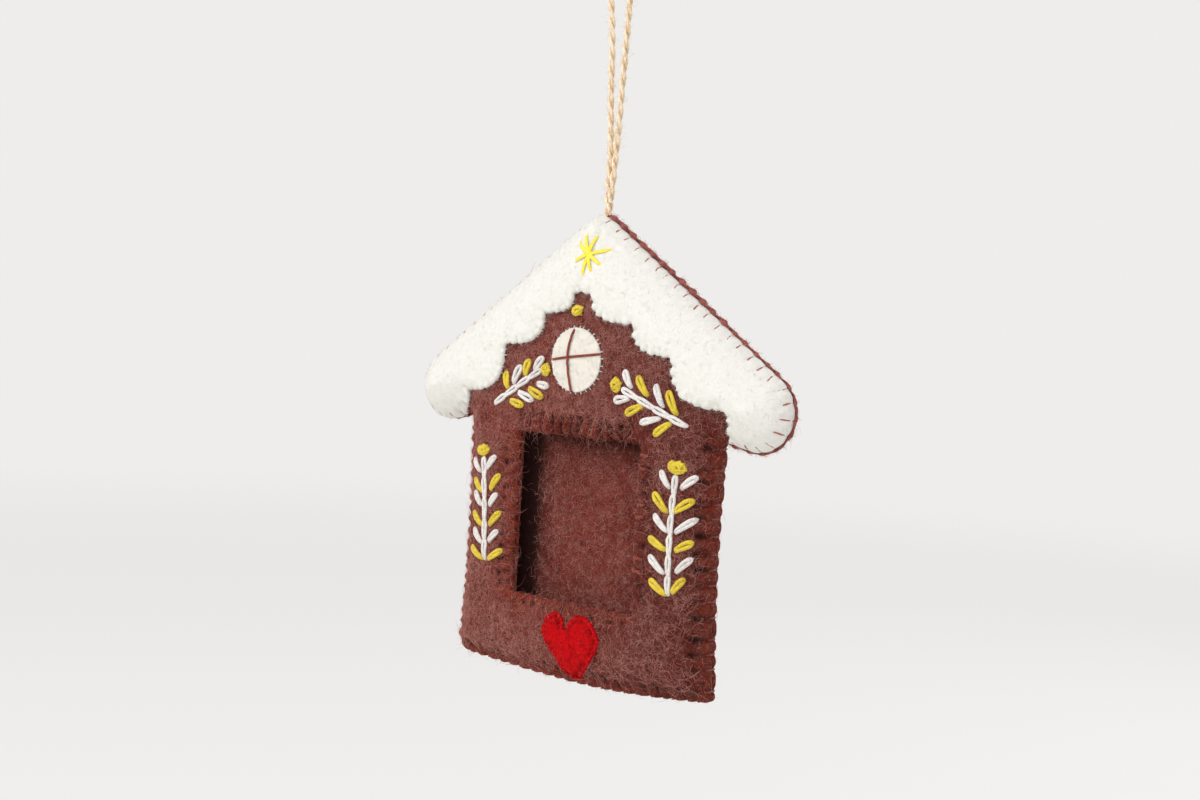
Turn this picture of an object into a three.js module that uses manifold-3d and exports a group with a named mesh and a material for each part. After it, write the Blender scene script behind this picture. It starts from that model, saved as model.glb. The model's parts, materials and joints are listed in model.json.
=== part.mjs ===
// A felt house picture frame that hangs from a loop of jute twine.
// Millimetres, +Z up. The front faces -Y. The origin is the inside top of the twine loop.
import * as THREE from 'three';
import { mergeVertices } from 'three/addons/utils/BufferGeometryUtils.js';
import Module from 'manifold-3d';

const wasm = await Module();
wasm.setup();

// Driving dimensions of the house. Heights are drops below the roof's peak.
const eave_overhang = 19.7;
const eave_drop = 47.2;
const eave_radius = 9.7;
const peak_radius = 7;
const wall_half = 42.8;
const foot_half = 43.4;
const waist = 1.1;
const left_drop = 121.3;
const right_drop = 119.6;
const foot_radius = 3.6;
const foot_bow = 2.2;
const roof_half = wall_half + eave_overhang;

// Thicknesses, from the back to the front, and the puffed shape between them.
const fit = 0.3;
const back_felt = 1.6;
const back_face = 2.3;
const lining_felt = 1.0;
const front_felt = 1.4;
const snow_felt = 1.6;
const puff = 4.6;
const puff_width = 9;
const pocket = 2.5;
const pocket_width = 10;
const belly = 1.1;
const lip_dip = 0.5;
const lip_width = 4;
const grid_step = 5.8;

// The opening for the picture.
const opening_left = 21.5;
const opening_right = 20.8;
const opening_top_drop = 57.6;
const opening_bottom_drop = 101.9;
const opening_corner = 1.5;

// The pieces inside.
const lining_top_drop = 17;
const padding_inset = 9.5;
const padding_lip = 5;

// The pieces sewn on the front.
const snow_inset = 0.7;
const snow_end = 1;
const window_radius = 8.5;
const window_drop = 37.6;
const window_side = -0.9;
const window_felt = 0.9;
const heart_width = 20;
const heart_height = 17.2;
const heart_drop = 112.3;
const heart_side = 1.3;
const heart_felt = 1.3;
const stitch_thick = 0.8;
const cross_thick = 0.7;
const star_size = 5.2;
const star_drop = 10.2;
const star_side = 0.5;
const knot_half = 2.1;
const knot_height = 1.6;
const knot_depth = 1.1;
const gable_knot_drop = 24.8;
const gable_knot_side = -0.6;
const stem_thick = 1.3;
const leaf_thick = 0.9;
const leaf_half_width = 1.1;

// The embroidered sprigs: where each starts, how long it is, how far its leaves reach and
// which way it grows, in degrees.
const side_foot_drop = 94;
const side_left_place = 30.5;
const side_left_length = 27.5;
const side_left_reach = 4.8;
const side_left_degrees = 94;
const side_right_place = 33.3;
const side_right_length = 29;
const side_right_reach = 6.1;
const side_right_degrees = 90;
const gable_foot_drop = 51.7;
const gable_reach = 5.6;
const gable_left_place = 30.5;
const gable_left_length = 18.8;
const gable_left_degrees = 31;
const gable_right_place = 35.5;
const gable_right_length = 22.6;
const gable_right_degrees = 158.8;

// The thread that sews the edges.
const thread = 0.7;
const tick_thick = 0.5;
const blanket_pitch = 4.4;
const overcast_pitch = 3.2;
const blanket_reach = 2.2;
const overcast_reach = 2.6;
const rim_reach = 2.8;
const rim_reach_low = 1.1;

// The twine. Its root lies in the peak, and the neck swings on the root.
const twine = 1.8;
const loop_rise = 72;
const neck_rise = 18;
const swing_rise = 2.6;
const root_drop = 10;
const root_knot_shares = [1.8, 1.1, 1.4];

// How far cuts run past what they cut.
const overrun = 30;

// The loop's route, from the neck's right strand over the top to its left strand.
const loop_route = [
  [1.05, 0, -53.85], [1.08, 0, -50], [1.5, 0.1, -44], [2.1, 0.2, -37], [2.6, 0.1, -29], [3.1, -0.1, -21],
  [3.6, -0.1, -14], [4.2, 0, -8.5], [4.46, 0, -4.6], [4.2, 0, -2.0], [3.18, 0, -0.42], [1.6, 0, 0.6],
  [0, 0, 0.9], [-1.6, 0, 0.6], [-3.18, 0, -0.42], [-4.2, 0, -2.0], [-4.46, 0, -4.6], [-4.1, 0.1, -8.5],
  [-3.4, 0.2, -14], [-2.9, 0.1, -21], [-2.5, -0.1, -29], [-2.1, -0.2, -37], [-1.6, -0.1, -44],
  [-1.08, 0, -50], [-1.05, 0, -53.85],
];

const colours = {
  brown: { color: 0x7a463f, roughness: 0.95 },
  brown_dark: { color: 0x66362f, roughness: 0.95 },
  white: { color: 0xf4f1ea, roughness: 0.95 },
  cream: { color: 0xf0ebde, roughness: 0.95 },
  red: { color: 0xc8141a, roughness: 0.9 },
  yellow: { color: 0xe9cf2e, roughness: 0.7 },
  thread_white: { color: 0xefece6, roughness: 0.7 },
  thread_brown: { color: 0x6c332c, roughness: 0.8 },
  thread_rust: { color: 0x94401f, roughness: 0.8 },
  wadding: { color: 0xeeeae0, roughness: 1 },
  jute: { color: 0xd2b076, roughness: 0.9 },
};

const ornament = new THREE.Group();
const house = new THREE.Group();
house.position.z = -loop_rise;
ornament.add(house);

function material(look) {
  return new THREE.MeshStandardMaterial({ ...colours[look], metalness: 0 });
}

// Adds one named piece, given as a geometry or as a solid.
function piece(name, shape, look, group = house) {
  const geometry = shape instanceof THREE.BufferGeometry ? shape : geometryOf(shape);
  const mesh = new THREE.Mesh(geometry, material(look));
  mesh.name = name;
  group.add(mesh);
  return mesh;
}

function solid(geometry) {
  const bare = new THREE.BufferGeometry();
  bare.setAttribute('position', geometry.getAttribute('position').clone());
  if (geometry.index) bare.setIndex(geometry.index.clone());
  const merged = mergeVertices(bare);
  return new wasm.Manifold(new wasm.Mesh({
    numProp: 3,
    vertProperties: Float32Array.from(merged.getAttribute('position').array),
    triVerts: Uint32Array.from(merged.index.array),
  }));
}

function geometryOf(manifold) {
  const mesh = manifold.getMesh();
  const geometry = new THREE.BufferGeometry();
  geometry.setAttribute('position', new THREE.BufferAttribute(mesh.vertProperties, mesh.numProp));
  geometry.setIndex(new THREE.BufferAttribute(mesh.triVerts, 1));
  geometry.computeVertexNormals();
  return geometry;
}

function joined(solids) {
  return solids.reduce((whole, next) => whole.add(next));
}

const clamp = THREE.MathUtils.clamp;
const degrees = THREE.MathUtils.degToRad;

// Points on an arc about (x, z), from one angle to another in degrees.
function arc(x, z, radius, from, to, steps) {
  return Array.from({ length: steps + 1 }, (_, i) => {
    const angle = degrees(from + (to - from) * (i / steps));
    return new THREE.Vector2(x + radius * Math.cos(angle), z + radius * Math.sin(angle));
  });
}

// A corner's radius after its outline is pulled in: small, but never turned over.
const pulledIn = (radius, inset) => Math.max(radius - inset, radius / 20);

// The roof's right half, from the peak round the eave to the wall.
function roofHalf(inset) {
  const eave_x = roof_half - eave_radius;
  const across = new THREE.Vector2(-eave_x, eave_drop - peak_radius);
  const turn = Math.acos((eave_radius - peak_radius) / across.length());
  const slope = THREE.MathUtils.radToDeg(across.angle() - turn);
  const eave_end = -104;
  const under = arc(eave_x, -eave_drop, pulledIn(eave_radius, inset), slope, eave_end, 11);
  const last = under[under.length - 1];
  const wall_x = wall_half - inset;
  const rise = Math.tan(degrees(eave_end + 90)) * (wall_x - last.x);
  return [
    ...arc(0, -peak_radius, pulledIn(peak_radius, inset), 90, slope, 4),
    ...under,
    new THREE.Vector2(wall_x, last.y + rise),
  ];
}

// One wall and its foot, from under the eave to the middle of the bottom edge.
function wallHalf(inset, top, drop) {
  const points = [];
  const middle_drop = (left_drop + right_drop) / 2 + foot_bow;
  const corner = pulledIn(foot_radius, inset);
  const height = top + drop - inset - corner;
  const steps = 6;
  for (let i = 1; i <= steps; i++) {
    const share = i / steps;
    const x = wall_half + (foot_half - wall_half) * share - waist * Math.sin(Math.PI * share);
    points.push(new THREE.Vector2(x - inset, top - height * share));
  }
  const foot_z = -drop + inset + corner;
  points.push(...arc(foot_half - inset - corner, foot_z, corner, 0, -90, 4).slice(1));
  const foot = points[points.length - 1];
  for (let i = 1; i <= steps; i++) {
    const share = i / steps;
    const low = -drop + inset - (middle_drop - drop) * Math.sin(0.5 * Math.PI * share);
    points.push(new THREE.Vector2(foot.x * (1 - share), low));
  }
  return points;
}

function mirrored(points) {
  return points.map((point) => new THREE.Vector2(-point.x, point.y)).reverse();
}

// The whole house outline, pulled in by inset.
function houseOutline(inset) {
  const roof = roofHalf(inset);
  const top = roof[roof.length - 1].y;
  const right = [...roof, ...wallHalf(inset, top, right_drop)];
  const left = [...roof, ...wallHalf(inset, top, left_drop)];
  return [...right, ...mirrored(left).slice(1, -1)];
}

// The opening, grown by a margin.
function openingOutline(grow) {
  const r = opening_corner + grow;
  const [left, right] = [-opening_left - grow, opening_right + grow];
  const [top, low] = [-opening_top_drop + grow, -opening_bottom_drop - grow];
  return [
    ...arc(right - r, top - r, r, 90, 0, 3),
    ...arc(right - r, low + r, r, 0, -90, 3),
    ...arc(left + r, low + r, r, -90, -180, 3),
    ...arc(left + r, top - r, r, 180, 90, 3),
  ];
}

const house_line = houseOutline(0);
const opening_line = openingOutline(0);

function insideLine(line, x, z) {
  let inside = false;
  line.forEach((a, i) => {
    const b = line[(i + 1) % line.length];
    const crossing = a.x + (b.x - a.x) * (z - a.y) / (b.y - a.y);
    if ((a.y > z) !== (b.y > z) && x < crossing) inside = !inside;
  });
  return inside;
}

// Distance from a closed line, positive inside it.
function depthInside(line, x, z) {
  const point = new THREE.Vector3(x, z, 0);
  const side = new THREE.Line3();
  const nearest = new THREE.Vector3();
  let best = Infinity;
  line.forEach((a, i) => {
    const b = line[(i + 1) % line.length];
    side.start.set(a.x, a.y, 0);
    side.end.set(b.x, b.y, 0);
    side.closestPointToPoint(point, true, nearest);
    best = Math.min(best, nearest.distanceTo(point));
  });
  return insideLine(line, x, z) ? best : -best;
}

// A height is worked out at the corners of a square grid and runs flat between them.
const grid_left = -roof_half - grid_step;
const grid_low = -Math.max(left_drop, right_drop) - foot_bow - grid_step;
const grid_columns = Math.ceil(2 * (roof_half + grid_step) / grid_step);
const grid_rows = Math.ceil((grid_step - grid_low) / grid_step);

function gridded(height) {
  const kept = new Map();
  const at = (i, j) => {
    const key = i * (grid_rows + 2) + j;
    if (!kept.has(key)) kept.set(key, height(grid_left + i * grid_step, grid_low + j * grid_step));
    return kept.get(key);
  };
  const value = (x, z) => {
    const [u, v] = [(x - grid_left) / grid_step, (z - grid_low) / grid_step];
    const [i, j] = [Math.floor(u), Math.floor(v)];
    const [a, b] = [u - i, v - j];
    const low = at(i, j);
    const high = at(i + 1, j + 1);
    if (a > b) return low + (at(i + 1, j) - low) * a + (high - at(i + 1, j)) * b;
    return low + (at(i, j + 1) - low) * b + (high - at(i, j + 1)) * a;
  };
  value.at = at;
  return value;
}

// How far the padding has swelled, from 0 at the house's edge to 1. It goes a little
// below 0 outside, so that it is about 0 on the edge itself.
function puffed(x, z) {
  return Math.sin(0.5 * Math.PI * clamp(depthInside(house_line, x, z) / puff_width, -0.16, 1));
}

// How near a point is to the opening, from 1 at its edge to 0 a width away.
function nearOpening(x, z, width) {
  const away = clamp(-depthInside(opening_line, x, z) / width, -1, 1);
  return 1 - Math.sin(0.5 * Math.PI * away);
}

const seam_lining = back_face - back_felt - fit;
const seam_front = seam_lining - lining_felt - fit - front_felt;
const frontFace = gridded((x, z) => {
  return seam_front - puff * puffed(x, z) + lip_dip * nearOpening(x, z, lip_width);
});
const liningBack = gridded((x, z) => {
  return seam_lining - belly * puffed(x, z) - pocket * nearOpening(x, z, pocket_width);
});
const shifted = (height, by) => {
  const moved = (x, z) => height(x, z) + by;
  moved.at = (i, j) => height.at(i, j) + by;
  return moved;
};
const frontBack = shifted(frontFace, front_felt);
const liningFace = gridded((x, z) => {
  return Math.max(liningBack(x, z) - lining_felt, frontBack(x, z) + fit);
});
const snowBack = shifted(frontFace, -fit);
const snowFace = shifted(snowBack, -snow_felt);

// A slab over the whole grid between two heights.
function gridSlab(front, back) {
  const [columns, rows] = [grid_columns, grid_rows];
  const positions = [];
  for (const face of [front, back]) {
    for (let i = 0; i <= columns; i++) {
      for (let j = 0; j <= rows; j++) {
        positions.push(grid_left + i * grid_step, face.at(i, j), grid_low + j * grid_step);
      }
    }
  }
  const across = rows + 1;
  const layer = (columns + 1) * across;
  const index = [];
  const quad = (a, b, c, d) => index.push(a, b, c, a, c, d);
  for (let i = 0; i < columns; i++) {
    for (let j = 0; j < rows; j++) {
      const p = i * across + j;
      quad(p, p + across, p + across + 1, p + 1);
      index.push(layer + p, layer + p + across + 1, layer + p + across);
      index.push(layer + p, layer + p + 1, layer + p + across + 1);
    }
  }
  for (let i = 0; i < columns; i++) {
    const p = i * across;
    quad(p, p + layer, p + across + layer, p + across);
    const q = p + rows;
    quad(q, q + across, q + across + layer, q + layer);
  }
  for (let j = 0; j < rows; j++) {
    quad(j, j + 1, j + 1 + layer, j + layer);
    const p = columns * across + j;
    quad(p, p + layer, p + 1 + layer, p + 1);
  }
  const geometry = new THREE.BufferGeometry();
  geometry.setAttribute('position', new THREE.Float32BufferAttribute(positions, 3));
  geometry.setIndex(index);
  return solid(geometry);
}

// A plate of an outline between two flat depths.
function plate(outline, front, back, hole) {
  const shape = new THREE.Shape(THREE.ShapeUtils.isClockWise(outline) ? [...outline].reverse() : outline);
  if (hole) shape.holes.push(new THREE.Path(hole));
  const geometry = new THREE.ExtrudeGeometry(shape, { depth: back - front, bevelEnabled: false });
  geometry.rotateX(0.5 * Math.PI);
  geometry.translate(0, back, 0);
  return geometry;
}

const deep = (outline, hole) => solid(plate(outline, -overrun, overrun, hole));

// A tube of so many sides along points.
function tube(points, diameter, sides, steps) {
  const section = new THREE.Shape(arc(0, 0, diameter / 2, 0, 360, sides).slice(0, -1));
  const path = points.length > 2 ? new THREE.CatmullRomCurve3(points) : new THREE.LineCurve3(...points);
  return new THREE.ExtrudeGeometry(section, { steps, extrudePath: path, bevelEnabled: false });
}

// Puts a piece that was made about y = 0 onto the height under it.
function draped(geometry, height) {
  const places = geometry.getAttribute('position');
  for (let i = 0; i < places.count; i++) {
    places.setY(i, places.getY(i) + height(places.getX(i), places.getZ(i)));
  }
  return solid(geometry);
}

// A flattened ball between two points of the front, lying on the height under it.
function bead(from, to, half_width, thick, height, sides = 6, rings = 4) {
  const along = to.clone().sub(from);
  const ball = new THREE.SphereGeometry(1, sides, rings);
  ball.rotateZ(0.5 * Math.PI);
  ball.scale(along.length() / 2, thick / 2, half_width);
  ball.rotateY(-along.angle());
  const middle = from.clone().add(to).divideScalar(2);
  ball.translate(middle.x, -fit - thick / 2, middle.y);
  return draped(ball, height);
}

// A round stitch along points of the front, lying on the height under it.
function stitch(points, thick, height, sides = 5) {
  const line = points.map((point) => new THREE.Vector3(point.x, -fit - thick / 2, point.y));
  const length = line.slice(1).reduce((sum, point, i) => sum + point.distanceTo(line[i]), 0);
  return draped(tube(line, thick, sides, Math.max(2, Math.ceil(length / (2.5 * thick)))), height);
}

// A felt shape that lies on the height under it.
function appliqued(outline, thick, height) {
  return gridSlab(shifted(height, -fit - thick), shifted(height, -fit)).intersect(deep(outline));
}

// The back panel, flat, with a channel where the twine presses into its peak.
const strand_side = (twine + fit) / 2;
const knot_back = -1.3 * twine;
const rootPath = (side, end) => [
  new THREE.Vector3(side * strand_side, 0, end),
  new THREE.Vector3(side * strand_side, 0, 0),
  new THREE.Vector3(side * strand_side, -twine / 3, -root_drop / 3),
  new THREE.Vector3(side * strand_side, knot_back, -root_drop),
];
const channels = joined([-1, 1].map((side) => {
  return solid(tube(rootPath(side, swing_rise), twine + 2 * fit, 8, 8));
}));

const back = solid(plate(house_line, back_face - back_felt, back_face)).subtract(channels);
piece('back_panel', back, 'brown_dark');

const front = gridSlab(frontFace, frontBack)
  .intersect(deep(house_line, opening_line))
  .subtract(channels);
piece('front_panel', front, 'brown');

function boxBelow(drop) {
  const box = new THREE.BoxGeometry(4 * roof_half, 2 * overrun, 2 * left_drop);
  box.translate(0, 0, -drop - left_drop);
  return solid(box);
}

const lining = gridSlab(liningFace, liningBack)
  .intersect(deep(house_line, opening_line))
  .intersect(boxBelow(lining_top_drop));
piece('frame_lining', lining, 'brown');

// The wadding is a flat ring between the front felt and the lining.
const padding_rim = houseOutline(padding_inset);
const padding_hole = openingOutline(padding_lip);
const heightsAlong = (line, height) => line.map((point) => height(point.x, point.y));
const padding_front = Math.max(...heightsAlong([...padding_rim, ...padding_hole], frontBack)) + fit;
const padding_back = Math.min(...heightsAlong(padding_hole, liningFace)) - fit;
const padding = solid(plate(padding_rim, padding_front, padding_back, padding_hole))
  .intersect(boxBelow(lining_top_drop + padding_inset));
piece('padding', padding, 'wadding');

// The white felt snow: the roof's outline above, and lobes below. Each lobe leaves one
// notch straight down and reaches the next one level.
const snow_height = eave_drop + eave_radius;
const right_notch_shares = [[0.048, 0.362], [0.28, 0.492], [0.483, 0.624], [0.752, 0.837]];
const left_notch_shares = [[0.029, 0.359], [0.195, 0.455], [0.414, 0.61], [0.622, 0.844]];
const peak_share = [0.005, 0.35];

function snowEdge(shares, roof) {
  const last = roof[roof.length - 1];
  const notches = shares.map(([x, z]) => new THREE.Vector2(x * roof_half, -z * snow_height));
  notches.push(new THREE.Vector2(last.x + snow_end, last.y));
  const points = [];
  for (let i = 1; i < notches.length; i++) {
    const [a, b] = [notches[i - 1], notches[i]];
    for (let step = 0; step < 6; step++) {
      const turn = degrees(15 * step);
      points.push(new THREE.Vector2(
        a.x + (b.x - a.x) * (1 - Math.cos(turn)),
        a.y + (b.y - a.y) * Math.sin(turn),
      ));
    }
  }
  return [...points, notches[notches.length - 1]];
}

const snow_half = roofHalf(snow_inset);
const snow_top = snow_half.slice(0, -1);
const right_edge = snowEdge(right_notch_shares, snow_half);
const left_edge = snowEdge(left_notch_shares, snow_half);
const snow_line = [
  ...snow_top,
  ...[...right_edge].reverse(),
  new THREE.Vector2(peak_share[0] * roof_half, -peak_share[1] * snow_height),
  ...left_edge.map((point) => new THREE.Vector2(-point.x, point.y)),
  ...mirrored(snow_top).slice(0, -1),
];
piece('snow_roof', gridSlab(snowFace, snowBack).intersect(deep(snow_line)), 'white');

// The attic window and its thread cross.
const window_line = arc(window_side, -window_drop, window_radius, 0, 360, 28).slice(0, -1);
const windowFace = shifted(frontFace, -fit - window_felt);
piece('attic_window', appliqued(window_line, window_felt, frontFace), 'cream');

const upright_shares = [[-0.08, 0.94], [-0.25, 0.32], [-0.22, -0.27], [-0.04, -0.95]];
const level_shares = [[-0.96, -0.04], [-0.24, 0.07], [0.94, 0.2]];
const onWindow = ([x, z]) => new THREE.Vector2(
  window_side + x * window_radius, -window_drop + z * window_radius);
const cross = [upright_shares, level_shares].map((shares) => {
  return stitch(shares.map(onWindow), cross_thick, windowFace, 6);
});
piece('window_cross', joined(cross), 'thread_brown');

// The straight stitch star on the snow: each ray's direction and length.
const ray_degrees = [134, 101, 61, 8, -34, -77, -106, -155];
const ray_shares = [0.92, 1, 1.02, 1.5, 0.96, 0.9, 1.1, 1];
const star_middle = new THREE.Vector2(star_side, -star_drop);
const rays = ray_degrees.map((turn, i) => {
  const tip = new THREE.Vector2(star_size * ray_shares[i], 0);
  tip.rotateAround(new THREE.Vector2(), degrees(turn)).add(star_middle);
  return stitch([star_middle, tip], stitch_thick, snowFace);
});
piece('star', joined(rays), 'yellow');

// A thread knot: a low oval ball.
function knot(name, x, z, size = 1) {
  const reach = new THREE.Vector2(knot_half * size, 0);
  const middle = new THREE.Vector2(x, z);
  const [from, to] = [middle.clone().sub(reach), middle.clone().add(reach)];
  piece(name, bead(from, to, knot_height * size, 2 * knot_depth * size, frontFace, 8, 5), 'yellow');
}
knot('gable_knot', gable_knot_side, -gable_knot_drop);

// The heart.
const heart_line = Array.from({ length: 36 }, (_, i) => {
  const t = (2 * Math.PI * i) / 36;
  const across = Math.sin(t) ** 3;
  const up = (13 * Math.cos(t) - 5 * Math.cos(2 * t) - 2 * Math.cos(3 * t) - Math.cos(4 * t) + 2.5) / 29;
  return new THREE.Vector2(heart_side + 0.5 * heart_width * across, -heart_drop + heart_height * up);
});
piece('heart', appliqued(heart_line, heart_felt, frontFace), 'red');

// The sprigs. A leaf is written as shares along and across the sprig, at its base and at
// its tip, with its colour.
const side_bases_shares = [0, 0.18, 0.36, 0.53, 0.69, 0.885];
const side_leaf_shares = side_bases_shares.flatMap((base, i) => [-1, 1].map((side) => {
  return [base, 0.27 * side, base + 0.12, side, i % 2 ? 'thread_white' : 'yellow'];
}));
const gable_left_shares = [
  [0.31, 0.26, 0.37, 1, 'yellow'], [0.41, 0.29, 0.62, 0.84, 'thread_white'],
  [0.63, 0.32, 0.78, 0.9, 'yellow'], [0.8, 0.27, 0.98, 0.72, 'thread_white'],
  [0.27, -0.27, 0.44, -0.84, 'yellow'], [0.44, -0.2, 0.62, -0.88, 'thread_white'],
  [0.62, -0.27, 0.78, -1, 'yellow'], [0.76, -0.3, 0.92, -0.74, 'thread_white'],
];
const gable_right_shares = [
  [0.17, 0.25, 0.36, 0.9, 'yellow'], [0.36, 0.2, 0.53, 0.88, 'thread_white'],
  [0.58, 0.26, 0.78, 0.8, 'yellow'], [0.81, 0.2, 0.95, 0.72, 'thread_white'],
  [0.21, -0.26, 0.34, -1, 'yellow'], [0.34, -0.3, 0.54, -0.95, 'thread_white'],
  [0.6, -0.27, 0.76, -0.95, 'yellow'], [0.79, -0.28, 0.95, -0.72, 'thread_white'],
];

function sprig(name, { x, drop, turn, length, reach, flip = 1 }, leaves) {
  const root = new THREE.Vector2(x, -drop);
  const place = (u, v) => new THREE.Vector2(u * length, v * reach * flip)
    .rotateAround(new THREE.Vector2(), degrees(turn)).add(root);
  const white = [stitch([place(0, 0), place(1, 0)], stem_thick, frontFace, 6)];
  let count = 0;
  for (const [u, v, tip_u, tip_v, look] of leaves) {
    const tip = place(tip_u, tip_v);
    if (look === 'yellow') {
      count += 1;
      piece(`${name}_leaf_${count}`, bead(place(u, v), tip, leaf_half_width, leaf_thick, frontFace), look);
    } else {
      white.push(bead(place(u - 0.03, 0), tip, leaf_half_width, leaf_thick, frontFace));
    }
  }
  piece(`${name}_stem`, joined(white), 'thread_white');
  const head = place(1, 0).lerp(place(0, 0), -(stem_thick + knot_half) / length);
  knot(`${name}_knot`, head.x, head.y);
}
sprig('sprig_left', {
  x: -side_left_place, drop: side_foot_drop, turn: side_left_degrees, length: side_left_length,
  reach: side_left_reach,
}, side_leaf_shares);
sprig('sprig_right', {
  x: side_right_place, drop: side_foot_drop, turn: side_right_degrees, length: side_right_length,
  reach: side_right_reach,
}, side_leaf_shares);
sprig('sprig_gable_left', {
  x: -gable_left_place, drop: gable_foot_drop, turn: gable_left_degrees, length: gable_left_length,
  reach: gable_reach,
}, gable_left_shares);
sprig('sprig_gable_right', {
  x: gable_right_place, drop: gable_foot_drop, turn: gable_right_degrees, length: gable_right_length,
  reach: gable_reach, flip: -1,
}, gable_right_shares);

// An edge sewn with thread: a cord that runs along the edge, and stitches that turn from
// it over the front. The side is 1 where the felt lies to the right of the way round.
function sewnEdge(name, points, { trim, side, surface, depth, pitch, reach, look }) {
  const path = new THREE.Path(points);
  const length = path.getLength();
  const run = length - 2 * trim;
  const place = (run_share) => {
    const share = clamp((trim + run * run_share) / length, 0, 1);
    const [point, way] = [path.getPointAt(share), path.getTangentAt(share)];
    return { point, inward: new THREE.Vector2(way.y, -way.x).multiplyScalar(side) };
  };
  const cord_steps = Math.ceil(run / (5.5 * thread));
  const cord_points = Array.from({ length: cord_steps + 1 }, (_, i) => {
    const { point, inward } = place(i / cord_steps);
    const out = point.clone().addScaledVector(inward, -fit - thread / 2);
    return new THREE.Vector3(out.x, depth(point), out.y);
  });
  const parts = [solid(tube(cord_points, thread, 4, cord_steps))];
  const count = Math.floor(run / pitch);
  for (let i = 0; i < count; i++) {
    const { point, inward } = place((i + 0.5) / count);
    const at = (reach_share) => {
      const spot = point.clone().addScaledVector(inward, reach_share * reach);
      return surface(spot.x, spot.y) - fit;
    };
    const start = depth(point);
    const outer = -fit - tick_thick;
    const under = [[-fit, start], [-fit, at(0)], [reach, at(1)]];
    const over = [[reach, at(1) - tick_thick], [outer, at(0) - tick_thick], [outer, start]];
    const profile = new THREE.Shape([...under, ...over].map(([s, y]) => new THREE.Vector2(s, y)));
    const tooth = new THREE.ExtrudeGeometry(profile, { depth: tick_thick, bevelEnabled: false });
    tooth.translate(0, 0, -tick_thick / 2);
    const [into, back] = [new THREE.Vector3(inward.x, 0, inward.y), new THREE.Vector3(0, 1, 0)];
    const basis = new THREE.Matrix4().makeBasis(into, back, into.clone().cross(back));
    tooth.applyMatrix4(basis.setPosition(point.x, 0, point.y));
    parts.push(solid(tooth));
  }
  piece(name, joined(parts), look);
}

const seamMiddle = () => (back_face + seam_front) / 2;
const blanket = {
  trim: 1.6 * thread, side: 1, surface: snowFace, depth: seamMiddle,
  pitch: blanket_pitch, reach: blanket_reach, look: 'thread_brown',
};
const overcast = {
  trim: twine, side: 1, surface: frontFace, depth: seamMiddle,
  pitch: overcast_pitch, reach: overcast_reach, look: 'thread_brown',
};

const roof_line = roofHalf(0);
const roof_run = new THREE.Path(roof_line).getSpacedPoints(60).slice(2, -1);
sewnEdge('roof_thread_right', roof_run, blanket);
sewnEdge('roof_thread_left', mirrored(roof_run), blanket);

// The walls' thread ends half way round each foot, and the bottom's thread starts there.
const roof_end = roof_line[roof_line.length - 1];
const right_wall = [roof_end, ...wallHalf(0, roof_end.y, right_drop)];
const left_wall = [roof_end, ...wallHalf(0, roof_end.y, left_drop)];
const foot_point = 8;
const bottom_line = [...right_wall.slice(foot_point), ...mirrored(left_wall.slice(foot_point)).slice(1)];
sewnEdge('wall_thread_right', right_wall.slice(0, foot_point + 1), overcast);
sewnEdge('wall_thread_left', mirrored(left_wall.slice(0, foot_point + 1)), overcast);
sewnEdge('bottom_thread', bottom_line, { ...overcast, trim: blanket.trim });

// The thread round the opening, one run for each side.
const rust = {
  trim: 0, side: -1, surface: frontFace, depth: (point) => liningBack(point.x, point.y) - thread / 2,
  pitch: overcast_pitch, reach: rim_reach, look: 'thread_rust',
};
['right', 'bottom', 'left', 'top'].forEach((name, i) => {
  const start = opening_line[4 * i + 3];
  const end = opening_line[(4 * i + 4) % opening_line.length];
  const reach = name === 'bottom' ? rim_reach_low : rim_reach;
  sewnEdge(`opening_thread_${name}`, [start, end], { ...rust, reach });
});

// The twine. The root's and the neck's round ends keep clear of each other as they swing.
const swing_gap = (twine + fit / 2) * Math.SQRT1_2;

function roundEnd(x, z) {
  const ball = new THREE.SphereGeometry(twine / 2, 8, 4);
  ball.rotateX(0.5 * Math.PI);
  ball.translate(x, 0, z);
  return solid(ball);
}

const root_end = swing_rise - swing_gap;
const root_strands = [-1, 1].flatMap((side) => [
  solid(tube(rootPath(side, root_end), twine, 8, 5)),
  roundEnd(side * strand_side, root_end),
]);
const root_knot = new THREE.SphereGeometry(twine, 8, 6);
root_knot.scale(...root_knot_shares);
root_knot.translate(0, knot_back, -root_drop);
piece('twine_root', joined([...root_strands, solid(root_knot)]), 'jute');

const [neck_low, neck_high] = [swing_rise + swing_gap, neck_rise - fit / 2];
for (const [name, side] of [['twine_neck_left', -1], ['twine_neck_right', 1]]) {
  const ends = [neck_low, neck_high].map((z) => new THREE.Vector3(side * strand_side, 0, z));
  piece(name, solid(tube(ends, twine, 8, 3)).add(roundEnd(side * strand_side, neck_low)), 'jute');
}

const loop_points = loop_route.map((point) => new THREE.Vector3(...point));
piece('twine_loop', tube(loop_points, twine, 8, 34), 'jute', ornament);

export default ornament;
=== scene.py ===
# A felt house picture frame on a loop of jute twine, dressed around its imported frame.
import json
import math

import bpy
import numpy as np
from bpy.props import FloatProperty, FloatVectorProperty, IntProperty, PointerProperty
from mathutils import Matrix, Vector, geometry, kdtree


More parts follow.
